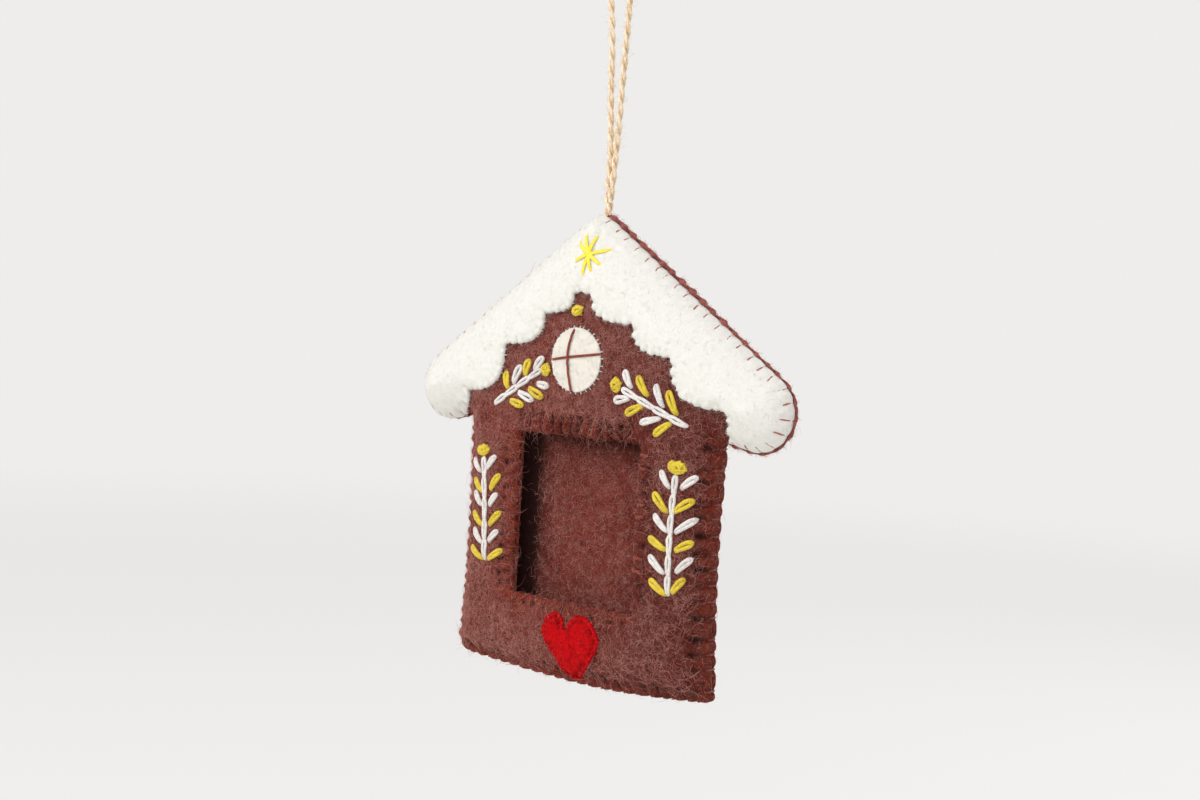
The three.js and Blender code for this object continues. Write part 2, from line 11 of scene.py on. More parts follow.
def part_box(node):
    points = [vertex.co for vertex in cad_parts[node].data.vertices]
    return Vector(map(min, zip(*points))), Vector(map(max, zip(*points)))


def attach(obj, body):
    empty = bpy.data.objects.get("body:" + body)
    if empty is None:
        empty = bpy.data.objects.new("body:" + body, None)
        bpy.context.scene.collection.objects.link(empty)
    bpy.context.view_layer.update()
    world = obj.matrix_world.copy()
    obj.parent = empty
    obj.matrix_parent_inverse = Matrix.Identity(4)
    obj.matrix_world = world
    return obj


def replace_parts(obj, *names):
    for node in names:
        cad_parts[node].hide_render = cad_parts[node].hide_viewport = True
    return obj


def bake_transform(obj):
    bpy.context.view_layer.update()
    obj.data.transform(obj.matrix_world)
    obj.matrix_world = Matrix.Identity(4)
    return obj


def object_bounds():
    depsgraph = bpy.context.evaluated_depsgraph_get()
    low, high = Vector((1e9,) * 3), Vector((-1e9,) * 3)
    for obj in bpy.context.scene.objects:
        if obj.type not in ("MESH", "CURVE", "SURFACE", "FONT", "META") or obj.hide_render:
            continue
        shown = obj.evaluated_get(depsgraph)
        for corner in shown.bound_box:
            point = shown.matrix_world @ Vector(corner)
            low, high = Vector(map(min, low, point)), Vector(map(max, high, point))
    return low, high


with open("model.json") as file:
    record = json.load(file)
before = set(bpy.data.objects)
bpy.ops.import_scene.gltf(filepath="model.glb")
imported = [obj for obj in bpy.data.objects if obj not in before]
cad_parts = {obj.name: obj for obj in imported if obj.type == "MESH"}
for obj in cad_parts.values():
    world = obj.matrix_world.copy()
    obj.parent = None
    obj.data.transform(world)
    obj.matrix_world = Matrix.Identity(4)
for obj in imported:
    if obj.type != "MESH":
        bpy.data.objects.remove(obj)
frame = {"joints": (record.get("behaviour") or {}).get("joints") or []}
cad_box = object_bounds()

bl_info = {
    "name": "Felt House Frame",
    "version": (1, 0, 0),
    "blender": (4, 5, 0),
    "location": "View3D > Sidebar > Felt House",
    "description": "Dresses a hand sewn felt house frame: felt, stitches, embroidery and twine",
    "category": "Object",
}

MM = 0.001
SWING = Vector(next(joint["pos_m"] for joint in frame["joints"] if joint["name"] == "swing"))


def length(label, default, about):
    return FloatProperty(name=label, description=about, default=default, unit="LENGTH", precision=5)


def count(label, default, about):
    return IntProperty(name=label, description=about, default=default, min=0)


def srgb(red, green, blue):
    """A colour as it shows on a screen, from 0 to 255, as linear light."""
    def linear(value):
        value /= 255
        return value / 12.92 if value <= 0.04045 else ((value + 0.055) / 1.055) ** 2.4
    return tuple(linear(value) for value in (red, green, blue))


def colour(label, default, about):
    return FloatVectorProperty(
        name=label, description=about, default=srgb(*default), size=3, subtype="COLOR", min=0, max=1)


# The sizes and colours that a user would change
class HouseShape(bpy.types.PropertyGroup):
    peak_drop: length("Peak", 0.0026, "Height of the swing point above the roof's peak")
    roof_half: length("Roof half width", 0.0625, "From the middle to the end of an eave")
    eave_drop: length("Eave drop", 0.0472, "From the peak down to the middle of an eave's round end")
    eave_radius: length("Eave radius", 0.0097, "Radius of an eave's round end")
    peak_radius: length("Peak radius", 0.007, "Radius of the roof's peak")
    wall_half: length("Wall half width", 0.0428, "From the middle to a wall under the eaves")
    foot_half: length("Foot half width", 0.0434, "From the middle to a wall at its foot")
    waist: length("Waist", 0.0011, "How far a wall is drawn in half way down")
    left_drop: length("Left wall drop", 0.1213, "From the peak to the left foot")
    right_drop: length("Right wall drop", 0.1196, "From the peak to the right foot")
    foot_radius: length("Foot radius", 0.0034, "Radius of the lower left corner")
    right_foot_radius: length("Right foot radius", 0.0016, "Radius of the lower right corner")
    foot_bow: length("Foot bow", 0.0022, "How far the bottom edge bows down")
    opening_left: length("Opening left", 0.0215, "From the middle to the opening's left edge")
    opening_right: length("Opening right", 0.0208, "From the middle to the opening's right edge")
    opening_top: length("Opening top", 0.0576, "From the peak down to the opening's top edge")
    opening_bottom: length("Opening bottom", 0.1019, "From the peak down to the opening's lower edge")
    opening_corner: length("Opening corner", 0.0012, "Radius of the opening's corners")


class HouseFelt(bpy.types.PropertyGroup):
    back: length("Back", 0.0023, "Depth of the back felt's outer face")
    back_thick: length("Back felt", 0.0011, "Thickness of the back felt")
    lining_back: length("Lining", 0.0004, "Depth of the lining's rear face at the seam")
    lining_thick: length("Lining felt", 0.001, "Thickness of the lining")
    front: length("Front", -0.0023, "Depth of the front felt's face at the seam")
    front_thick: length("Front felt", 0.0014, "Thickness of the front felt")
    snow_thick: length("Snow felt", 0.0016, "Thickness of the white felt")
    window_thick: length("Window felt", 0.0009, "Thickness of the attic window")
    heart_thick: length("Heart felt", 0.0013, "Thickness of the heart")
    gap: length("Gap", 0.00012, "Air between felts that lie on each other")
    puff: length("Puff", 0.0046, "How far the padded front stands up")
    puff_width: length("Puff width", 0.009, "How far in the front takes to reach its full height")
    pocket: length("Pocket", 0.0025, "How far the lining is lifted round the opening")
    pocket_width: length("Pocket width", 0.010, "How far the lining's lift reaches")
    belly: length("Belly", 0.0011, "How far the lining follows the puffed front")
    lip: length("Lip", 0.0005, "How far the front dips at the opening")
    lip_width: length("Lip width", 0.004, "How far the dip reaches")
    roof_width: length("Roof puff width", 0.012, "How far in the roof takes to reach its full height")
    pinch: length("Pinch", 0.0009, "How far the walls' sewn rim is squeezed from each side")
    roof_pinch: length("Roof pinch", 0.0014, "How far the roof's sewn rim is squeezed from the front")
    pinch_width: length("Pinch width", 0.0011, "How far in the squeeze reaches")
    spacing: length("Mesh spacing", 0.00066, "Distance between the felt's mesh points")


class HouseThread(bpy.types.PropertyGroup):
    sewing: length("Sewing thread", 0.00062, "Thickness of the brown and rust sewing thread")
    floss: length("Embroidery thread", 0.00098, "Thickness of the embroidery thread")
    blanket_pitch: length("Blanket pitch", 0.0041, "Distance between blanket stitches on the roof")
    blanket_reach: length("Blanket reach", 0.0014, "Length of a blanket stitch on the roof")
    overcast_pitch: length("Overcast pitch", 0.0032, "Distance between stitches on the walls")
    overcast_reach: length("Overcast reach", 0.0028, "Length of a stitch on the walls")
    opening_pitch: length("Opening pitch", 0.0033, "Distance between stitches round the opening")
    opening_reach: length("Opening reach", 0.0030, "Length of a stitch beside the opening")
    opening_reach_top: length("Opening reach, top", 0.0044, "Length of a stitch over the opening")
    opening_reach_low: length("Opening reach, low", 0.0013, "Length of a stitch under the opening")
    whip_pitch: length("Whip pitch", 0.0025, "Distance between the white stitches on the snow")
    whip_reach: length("Whip reach", 0.0015, "Length of a white stitch on the snow")


class HouseTwine(bpy.types.PropertyGroup):
    thick: length("Twine", 0.0018, "Thickness of the jute twine")
    lay: length("Lay", 0.0084, "Length of one turn of the twine's two plies")
    root_drop: length("Root drop", 0.010, "How far the twine reaches into the peak")
    hairs: count("Hairs", 420, "Loose fibres on the twine")


class HouseFuzz(bpy.types.PropertyGroup):
    front: count("Front fibres", 13500, "Loose fibres on the brown front")
    back: count("Back fibres", 5200, "Loose fibres on the back felt")
    snow: count("Snow fibres", 3000, "Loose fibres on the white felt")
    heart: count("Heart fibres", 700, "Loose fibres on the heart")
    window: count("Window fibres", 260, "Loose fibres on the attic window")
    rim: count("Rim fibres", 700, "Fibres that stand out round the walls' edge")
    thick: length("Fibre", 0.00006, "Thickness of a loose fibre")


class HouseColours(bpy.types.PropertyGroup):
    brown_dark: colour("Brown, dark", (60, 21, 17), "The darkest wool of the brown felt")
    # brown_deep: the felt's random dark pits, and painted shade in the sewn mark's grooves, dimples and
    # pocket
    brown_deep: colour("Brown, deepest", (28, 9, 7), "The brown felt deep in its folds")
    brown: colour("Brown", (114, 44, 35), "The brown felt")
    brown_light: colour("Brown, light", (150, 78, 68), "The palest wool of the brown felt")
    brown_fibre: colour("Brown fibres", (198, 140, 128), "Loose fibres on the brown felt")
    white_shade: colour("White, shaded", (198, 196, 188), "The white felt in its hollows")
    white: colour("White", (208, 206, 200), "The white felt")
    cream: colour("Cream", (208, 201, 190), "The attic window")
    red_shade: colour("Red, shaded", (122, 3, 9), "The heart in its hollows")
    red: colour("Red", (191, 8, 15), "The heart")
    red_fibre: colour("Red fibres", (214, 46, 48), "Loose fibres on the heart")
    yellow_shade: colour("Yellow, shaded", (172, 142, 24), "Yellow thread between its strands")
    yellow: colour("Yellow", (215, 191, 46), "Yellow thread")
    lemon: colour("Lemon", (237, 214, 68), "Yellow thread of the star")
    floss_shade: colour("White thread, shaded", (186, 180, 174), "White thread between its strands")
    floss: colour("White thread", (220, 215, 211), "White thread")
    thread: colour("Brown thread", (142, 68, 60), "Brown sewing thread")
    thread_shade: colour("Brown thread, shaded", (78, 32, 28), "Brown thread between its plies")
    tick: colour("Blanket legs", (170, 112, 102), "Brown thread that shows through white wool")
    tick_pale: colour("Blanket legs, pale", (202, 170, 160), "Brown thread deep in white wool")
    rust: colour("Rust thread", (134, 48, 25), "Rust sewing thread")
    rust_shade: colour("Rust thread, shaded", (92, 30, 18), "Rust thread between its plies")
    overcast: colour("Wall thread", (128, 54, 40), "Sewing thread on the walls")
    jute: colour("Jute", (229, 214, 190), "Jute twine")
    jute_shade: colour("Jute, shaded", (198, 160, 117), "Jute between its plies")
    pale: colour("Backdrop", (238, 237, 235), "Floor and backdrop")


# Lines and outlines, as arrays of (x, z) points
def arc(x, z, radius, start, stop, steps):
    angles = np.radians(np.linspace(start, stop, steps + 1))
    return np.column_stack((x + radius * np.cos(angles), z + radius * np.sin(angles)))


def measured(line):
    """The distance along a line to each of its points."""
    return np.concatenate(([0], np.cumsum(np.linalg.norm(np.diff(line, axis=0), axis=1))))


def unit(vectors, least=1e-12):
    return vectors / (np.linalg.norm(vectors, axis=-1)[..., None] + least)


def along(line, distances):
    """Points at distances along a line."""
    run = measured(line)
    return np.column_stack([np.interp(distances, run, line[:, k]) for k in range(line.shape[1])])


def even(line, step, closed=False):
    """A line with its points a step apart. A closed one doesn't repeat its first point."""
    if closed:
        line = np.vstack((line, line[:1]))
    total = measured(line)[-1]
    steps = max(2, round(total / step))
    places = along(line, np.linspace(0, total, steps + 1))
    return places[:-1] if closed else places


def smooth(points, step):
    """A smooth curve through a few points, with its own points a step apart."""
    points = np.asarray(points, float)
    ends = np.vstack((2 * points[0] - points[1], points, 2 * points[-1] - points[-2]))
    pieces = []
    for a, b, c, d in zip(ends, ends[1:], ends[2:], ends[3:]):
        t = np.linspace(0, 1, 12, endpoint=False)[:, None]
        pieces.append(0.5 * (2 * b + (c - a) * t + (2 * a - 5 * b + 4 * c - d) * t ** 2
                             + (3 * b - a - 3 * c + d) * t ** 3))
    return even(np.vstack((*pieces, points[-1:])), step)


def mirrored(line):
    return line[::-1] * (-1, 1)


def inward_of(line, closed=True):
    """Unit normals on the right of the way along a line."""
    if closed:
        way = np.roll(line, -1, 0) - np.roll(line, 1, 0)
    else:
        way = np.gradient(line, axis=0)
    way = unit(way)
    return np.column_stack((way[:, 1], -way[:, 0]))


def inside(line, points):
    """Whether each point lies inside a closed line."""
    a, b = line, np.roll(line, -1, 0)
    result = np.zeros(len(points), bool)
    for start in range(0, len(points), 4000):
        x, z = points[start:start + 4000, :1], points[start:start + 4000, 1:]
        spans = (a[:, 1] > z) != (b[:, 1] > z)
        rise = np.where(b[:, 1] == a[:, 1], 1, b[:, 1] - a[:, 1])
        cross = a[:, 0] + (b[:, 0] - a[:, 0]) * (z - a[:, 1]) / rise
        result[start:start + 4000] = (spans & (x < cross)).sum(1) % 2 == 1
    return result


def depth_inside(line, x, z):
    """Distance from a closed line, positive inside it."""
    points = np.column_stack((x.ravel(), z.ravel()))
    a = line
    way = np.roll(line, -1, 0) - a
    best = np.full(len(points), np.inf)
    for start, step in zip(a, way):
        rest = points - start
        t = share_of(rest @ step / (step @ step + 1e-18))
        best = np.minimum(best, ((rest - t[:, None] * step) ** 2).sum(1))
    return np.where(inside(line, points), 1, -1).reshape(x.shape) * np.sqrt(best).reshape(x.shape)


def stitch_places(line, pitch, trim, seed, jitter=0.12):
    """Where stitches cross an edge: a point and the direction into the felt for each."""
    total = measured(line)[-1]
    number = round((total - 2 * trim) / pitch)
    shift = np.random.RandomState(seed).uniform(-jitter, jitter, number)
    spots = trim + (np.arange(number) + 0.5 + shift) * (total - 2 * trim) / number
    reach = 0.4 * MM
    point = along(line, spots)
    way = along(line, np.minimum(spots + reach, total)) - along(line, np.maximum(spots - reach, 0))
    way = unit(way, 0)
    return list(zip(point, np.column_stack((way[:, 1], -way[:, 0]))))


def scalloped(line, places, depth, width):
    """A closed line drawn in at its stitches."""
    near = np.array([point for point, _ in places])
    gaps = ((line[:, None] - near) ** 2).sum(2)
    depth = depth * np.random.RandomState(len(places)).uniform(0.55, 1.2, len(places))[gaps.argmin(1)]
    return line + inward_of(line) * (depth * np.exp(-gaps.min(1) / width ** 2))[:, None]


def between_four(at, i, j, a, b):
    """A value between a grid's four points, at shares a and b of the way across."""
    return ((at(i, j) * (1 - a) + at(i + 1, j) * a) * (1 - b)
            + (at(i, j + 1) * (1 - a) + at(i + 1, j + 1) * a) * b)


# How many random values a lattice has along each side before it repeats
LATTICE = 61


def lattice(x, z, size, seed):
    """Smooth noise from -1 to 1 with features about one size across."""
    table = np.random.RandomState(seed).uniform(-1, 1, (LATTICE, LATTICE))
    u, v = x / size, z / size
    i, j = np.floor(u).astype(int), np.floor(v).astype(int)
    a, b = u - i, v - j
    a, b = eased(a), eased(b)
    return between_four(lambda p, q: table[p % LATTICE, q % LATTICE], i, j, a, b)


def lumps(x, z, seed):
    """The uneven surface of felt, from about -1 to 1."""
    return (0.45 * lattice(x, z, 3.1 * MM, seed) + 0.35 * lattice(x + z, z - x, 1.7 * MM, seed + 1)
            + 0.3 * lattice(x, z, 0.8 * MM, seed + 2))


def share_of(values):
    """Values held between 0 and 1."""
    return np.clip(values, 0, 1)


def eased(share):
    return share * share * (3 - 2 * share)


def all_places(runs):
    """The stitches of every side in one list."""
    return [place for run in runs.values() for place in run]


# How far below the peak the roof's puff ends, and how far out the eaves begin
ROOF_LOW = 56 * MM
ROOF_SIDE = 43 * MM


def on_roof(x, z):
    """1 on the roof and its eaves, and 0 on the walls."""
    high = share_of((z + ROOF_LOW) / (8 * MM))
    wide = share_of((np.abs(x) - ROOF_SIDE) / (3 * MM))
    return eased(np.maximum(high, wide))


class Field:
    """Values on a fine square grid over the house, such as a face's depth, read between its points."""
    step = 0.3 * MM
    low = np.array((-69 * MM, -130 * MM))
    size = (460, 453)

    def __init__(self, function):
        i, j = np.meshgrid(*(np.arange(n) for n in self.size), indexing="ij")
        self.values = function(self.low[0] + i * self.step, self.low[1] + j * self.step)

    def __call__(self, x, z):
        u = np.clip((np.asarray(x) - self.low[0]) / self.step, 0, self.size[0] - 1.001)
        v = np.clip((np.asarray(z) - self.low[1]) / self.step, 0, self.size[1] - 1.001)
        i, j = u.astype(int), v.astype(int)
        a, b = u - i, v - j
        return between_four(lambda p, q: self.values[p, q], i, j, a, b)

    def window(self, point, reach):
        """The part of the grid near a point, and its places."""
        first = np.maximum(((point - reach - self.low) / self.step).astype(int), 0)
        last = np.minimum(((point + reach - self.low) / self.step).astype(int) + 2, self.size)
        part = np.s_[first[0]:last[0], first[1]:last[1]]
        i, j = np.meshgrid(np.arange(first[0], last[0]), np.arange(first[1], last[1]), indexing="ij")
        return part, self.low[0] + i * self.step, self.low[1] + j * self.step

    def press(self, point, radius, depth):
        """Presses a round dent towards the back."""
        part, x, z = self.window(np.asarray(point), 2.5 * radius)
        self.values[part] += depth * np.exp(-((x - point[0]) ** 2 + (z - point[1]) ** 2) / radius ** 2)

    def draw_in(self, point, inward, reach, depth, width, dimple):
        """Presses the groove that a stitch over an edge pulls, with a dimple where it enters."""
        part, x, z = self.window(point, 3 * reach)
        dx, dz = x - point[0], z - point[1]
        u = dx * inward[0] + dz * inward[1]
        v = dx * inward[1] - dz * inward[0]
        fade = share_of((1.3 * reach - u) / (0.9 * reach))
        groove = depth * np.exp(-(v / width) ** 2) * fade * fade * (3 - 2 * fade)
        hole = dimple * np.exp(-((u - reach) ** 2 + v ** 2) / (1.3 * width) ** 2)
        self.values[part] += groove + hole


# Places on the front are in millimetres from the peak, as they show on a flat plane at this
# depth, and are carried along the camera's line of sight to the curved face
SEEN_PLANE = -0.00697

# The snow's lower edge: its notches, from the gable outwards, in millimetres from the peak
SNOW_PEAK = (0.4, -20.1)
SNOW_RIGHT = ((3.6, -21.3), (17.6, -28), (30.3, -35.6), (46.8, -47.6), (44.6, -55.4))
SNOW_LEFT = ((-2.4, -20.8), (-12.2, -25.9), (-25.9, -34.7), (-40.0, -48.1), (-49.0, -56.5))
SNOW_FULLNESS = 0.72

HEART = ((-0.7, -108.4), (-1.2, -106.3), (-2.3, -104.5), (-4.0, -104.0), (-5.7, -104.6), (-7.4, -106.0),
         (-8.5, -108.2), (-8.4, -110.6), (-7.2, -112.5), (-5.6, -114.3), (-4.2, -115.4), (-2.9, -117.0),
         (-1.0, -118.7), (1.4, -119.9), (3.6, -120.6), (5.3, -120.6), (6.5, -119.2), (7.8, -117.3),
         (9.2, -114.7), (10.6, -112.2), (11.2, -110.1), (10.7, -108.1), (9.5, -106.2), (7.9, -104.7),
         (6.2, -103.9), (4.4, -103.6), (2.8, -104.2), (1.3, -105.2), (0.3, -106.6))

WINDOW_MIDDLE = (-1.6, -37.7)
WINDOW_RADIUS = 8.5
CROSS_UPRIGHT = ((-2.3, -29.4), (-3.7, -35.0), (-3.6, -40.0), (-2.0, -46.4))
CROSS_LEVEL = ((-10.0, -38.1), (-3.6, -37.1), (6.9, -35.8))

STAR_MIDDLE = (1.4, -10.2)
STAR_TIPS = ((-2.2, -6.8), (0.3, -4.8), (4.1, -5.2), (9.4, -9.0), (5.6, -13.2), (2.3, -15.2),
             (-0.6, -16.2), (-3.8, -12.4))

# Each knot: its middle, width, height, turn in degrees and the number of its coils
GABLE_KNOT = ((-1.0, -24.8), 4.4, 3.4, 10, 1.7)

# Each sprig: its stem from foot to head, its knot, its yellow leaves in the order of the
# frame's nodes, and its white ones, each from base to tip with its width
SPRIGS = {
    "sprig_left": {
        "stem": ((-30.0, -94.2), (-31.0, -80.0), (-32.3, -66.0)),
        "knot": ((-32.3, -64.0), 4.8, 3.7, 4, 2.3),
        "yellow": (((-29.2, -93.9), (-23.8, -90.5), 2.0), ((-30.6, -93.9), (-34.9, -90.8), 2.0),
                   ((-29.3, -84.6), (-25.1, -80.4), 2.1), ((-31.3, -84.9), (-34.8, -81.2), 1.9),
                   ((-29.6, -74.9), (-26.1, -70.3), 2.1), ((-31.9, -75.8), (-35.0, -72.1), 1.9)),
        "white": (((-29.2, -89.0), (-25.8, -85.5), 1.8), ((-31.4, -89.7), (-34.3, -85.8), 1.8),
                  ((-29.6, -79.3), (-26.9, -75.6), 1.8), ((-32.0, -79.5), (-34.7, -75.6), 1.8),
                  ((-31.2, -69.2), (-28.1, -65.4), 1.8), ((-33.3, -70.2), (-35.6, -66.6), 1.8)),
    },
    "sprig_right": {
        "stem": ((33.3, -94.2), (32.8, -78.0), (33.6, -64.2)),
        "knot": ((34.1, -62.2), 5.7, 4.1, -10, 2.4),
        "yellow": (((34.3, -93.4), (37.9, -89.3), 1.8), ((32.8, -94.0), (27.5, -90.9), 2.2),
                   ((34.3, -82.9), (39.8, -80.0), 2.2), ((31.9, -83.0), (26.5, -80.4), 2.1),
                   ((33.5, -73.4), (39.3, -69.8), 2.3), ((31.6, -73.7), (27.2, -69.3), 2.4)),
        "white": (((35.0, -88.2), (39.8, -84.0), 1.7), ((31.7, -88.9), (26.9, -85.0), 2.1),
                  ((34.0, -78.5), (40.3, -74.3), 1.9), ((32.0, -78.5), (27.7, -74.6), 1.9),
                  ((35.1, -67.5), (40.0, -64.0), 2.0), ((31.9, -67.7), (29.0, -63.6), 1.9)),
    },
    "sprig_gable_left": {
        "stem": ((-29.8, -51.3), (-21.8, -46.1), (-13.0, -40.9)),
        "knot": ((-11.0, -40.7), 3.8, 3.8, 60, 1.9),
        "yellow": (((-24.8, -46.8), (-25.6, -42.3), 2.2), ((-18.8, -43.0), (-17.5, -38.7), 2.5),
                   ((-24.0, -49.7), (-19.1, -50.8), 2.3), ((-17.5, -45.9), (-12.2, -48.1), 2.5)),
        "white": (((-22.9, -45.5), (-20.4, -40.4), 2.5), ((-15.6, -41.5), (-12.7, -37.7), 2.3),
                  ((-21.3, -47.2), (-15.5, -49.1), 2.4), ((-14.6, -44.6), (-10.3, -45.1), 2.2)),
    },
    "sprig_gable_right": {
        "stem": ((36.2, -52.0), (25.6, -48.4), (15.0, -44.2)),
        "knot": ((13.2, -43.1), 4.3, 4.0, 80, 1.9),
        "yellow": (((32.7, -49.5), (29.8, -43.9), 2.5), ((23.3, -45.5), (20.0, -40.8), 2.4),
                   ((31.0, -51.5), (26.2, -54.8), 2.2), ((22.1, -47.8), (16.8, -50.3), 2.4)),
        "white": (((28.3, -48.0), (25.8, -42.5), 2.1), ((17.9, -43.8), (15.6, -39.6), 2.2),
                  ((27.7, -50.6), (21.6, -52.2), 2.0), ((17.5, -46.4), (12.8, -47.2), 2.4)),
    },
}


# How far the stitches over an edge draw its outline in, and for the dents on the front: their
# reach as a share of the stitch's, their depth, and how dark the painted shade in them and at their end is
EDGE_DRAW = {"right": 0.8 * MM, "bottom": 0.25 * MM, "left": 0.45 * MM}
EDGE_DENTS = {"right": (1.0, 0.9 * MM, 0.4, 1.0), "bottom": (1.1, 1.4 * MM, 1.3, 1.6),
              "left": (0.75, 0.8 * MM, 0.35, 0.6)}


# How steeply an eave's underside runs up to the wall, in degrees
EAVE_RISE = 14

# The stitches over each edge: how much further apart they are than the left wall's, the length
# left bare at both ends, their random seed and how unevenly they stand
OVERCAST_RUNS = {"right": (1.3, 0.8 * MM, 5, 0.2), "bottom": (1.25, 0.6 * MM, 6, 0.2),
                 "left": (1, 0.8 * MM, 7, 0.2)}
# The length left bare at both ends of the roof's stitches
BLANKET_TRIM = 1.6 * MM

# How far the back felt's rim turns forward along the roof, to meet the snow
ROOF_LIP = 0.5 * MM


def twine_swell(x, z):
    """How far the twine's root pushes the felt out at the peak, on either side."""
    return 0.75 * MM * np.exp(-((x - TWINE_ENTRY[0] * MM) / (2.0 * MM)) ** 2 + z / (6 * MM))


class Pattern:
    """The house's outlines, depths and stitch places, in metres, with the peak at (0, 0)."""

    def __init__(self, scene):
        self.shape, self.felt, self.thread = scene.house_shape, scene.house_felt, scene.house_thread
        self.peak = SWING.z - self.shape.peak_drop
        self.eye = np.array(CAMERA_PLACE) - (0, 0, self.peak)
        self.plan_runs()
        self.plan_stitches()
        self.plan_depths()

    def roof_half(self, inset):
        s = self.shape
        eave_x = s.roof_half - s.eave_radius
        across = complex(-eave_x, s.eave_drop - s.peak_radius)
        slope = math.degrees(math.atan2(across.imag, across.real)
                             - math.acos((s.eave_radius - s.peak_radius) / abs(across)))
        under = arc(eave_x, -s.eave_drop, s.eave_radius - inset, slope, -90 - EAVE_RISE, 30)
        wall_x = s.wall_half - inset
        level = under[-1, 1] + math.tan(math.radians(-EAVE_RISE)) * (wall_x - under[-1, 0])
        peak = arc(0, -s.peak_radius, s.peak_radius - inset, 90, slope, 14)
        return np.vstack((peak, under, (wall_x, level)))

    def wall_half(self, top, drop, radius):
        s = self.shape
        height = top + drop - radius
        t = np.linspace(0, 1, 25)
        x = s.wall_half + (s.foot_half - s.wall_half) * t - s.waist * np.sin(np.pi * t)
        wall = np.column_stack((x, top - height * t))
        corner = arc(s.foot_half - radius, radius - drop, radius, 0, -90, 12)[1:]
        middle = (s.left_drop + s.right_drop) / 2 + s.foot_bow
        t = np.linspace(0, 1, 25)[1:]
        low = -drop - (middle - drop) * np.sin(0.5 * np.pi * t)
        bottom = np.column_stack((corner[-1, 0] * (1 - t), low))
        return wall, corner, bottom

    def plan_runs(self):
        """The outline's runs, clockwise seen from the front."""
        s = self.shape
        roof = self.roof_half(0)
        top = roof[-1, 1]
        right_wall, right_foot, right_bottom = self.wall_half(top, s.right_drop, s.right_foot_radius)
        left_wall, left_foot, left_bottom = self.wall_half(top, s.left_drop, s.foot_radius)
        self.roof_right, self.roof_left = roof, mirrored(roof)
        self.wall_right = np.vstack((right_wall, right_foot[:6]))
        self.wall_left = mirrored(np.vstack((left_wall, left_foot[:6])))
        left_half = mirrored(np.vstack((left_foot[5:], left_bottom)))
        self.bottom = np.vstack((right_foot[5:], right_bottom, left_half[1:]))
        whole = np.vstack((self.roof_right, self.wall_right[1:], self.bottom[1:], self.wall_left[1:],
                           self.roof_left[1:-1]))
        self.house = even(whole, 0.5 * MM, closed=True)
        corner = s.opening_corner
        left, right, top, low = -s.opening_left, s.opening_right, -s.opening_top, -s.opening_bottom
        corners = ((right - corner, top - corner, 90, 0), (right - corner, low + corner, 0, -90),
                   (left + corner, low + corner, -90, -180), (left + corner, top - corner, 180, 90))
        opening = np.vstack([arc(x, z, corner, start, stop, 5) for x, z, start, stop in corners])
        self.opening = even(opening, 0.45 * MM, closed=True)
        turns = np.array(((right, top), (right, low), (left, low), (left, top), (right, top)))
        sides = ("right", "bottom", "left", "top")
        self.opening_sides = {side: turns[n:n + 2] for n, side in enumerate(sides)}

    def plan_stitches(self):
        t = self.thread
        self.blanket = {
            side: stitch_places(line, t.blanket_pitch, BLANKET_TRIM, seed)
            for side, line, seed in (("right", self.roof_right, 3), ("left", self.roof_left, 4))}
        lines = {"right": self.wall_right, "bottom": self.bottom, "left": self.wall_left}
        self.overcast = {
            side: stitch_places(lines[side], wider * t.overcast_pitch, trim, seed, jitter)
            for side, (wider, trim, seed, jitter) in OVERCAST_RUNS.items()}
        self.rim = {}
        for n, (side, line) in enumerate(self.opening_sides.items()):
            places = stitch_places(line, t.opening_pitch, 0.9 * MM, 8 + n)
            self.rim[side] = [(point, -inward) for point, inward in places]
        self.rim_reach = {"right": t.opening_reach, "bottom": t.opening_reach_low, "left": t.opening_reach,
                          "top": t.opening_reach_top}

    def near_rim(self, x, z, width):
        """1 at the outline, fading inwards over a width."""
        return np.exp(-np.maximum(self.depth(x, z), 0) / width)

    def near_opening(self, x, z, width):
        """1 at the opening's edge, and 0 further from it than a width."""
        return 1 - np.sin(0.5 * np.pi * share_of(self.beside(x, z) / width))

    def puffed(self, x, z):
        """The padding's rise, from 0 at the seam to 1 where it is full."""
        walls = np.sin(0.5 * np.pi * share_of(self.depth(x, z) / self.felt.puff_width))
        roof = np.sin(0.5 * np.pi * share_of(self.depth(x, z) / self.felt.roof_width)) ** 1.4
        return walls + (roof - walls) * on_roof(x, z)

    def bare(self, x, z):
        """The padded front's face before it is sewn."""
        f = self.felt
        pinch = (f.pinch + (f.roof_pinch - f.pinch) * on_roof(x, z)) * self.near_rim(x, z, f.pinch_width)
        return f.front - f.puff * self.puffed(x, z) + pinch - twine_swell(x, z)

    def plan_depths(self):
        self.depth = Field(lambda x, z: depth_inside(self.house[::2], x, z))
        self.beside = Field(lambda x, z: -depth_inside(self.opening[::2], x, z))
        self.plan_front()
        self.plan_snow()
        self.plan_rear()

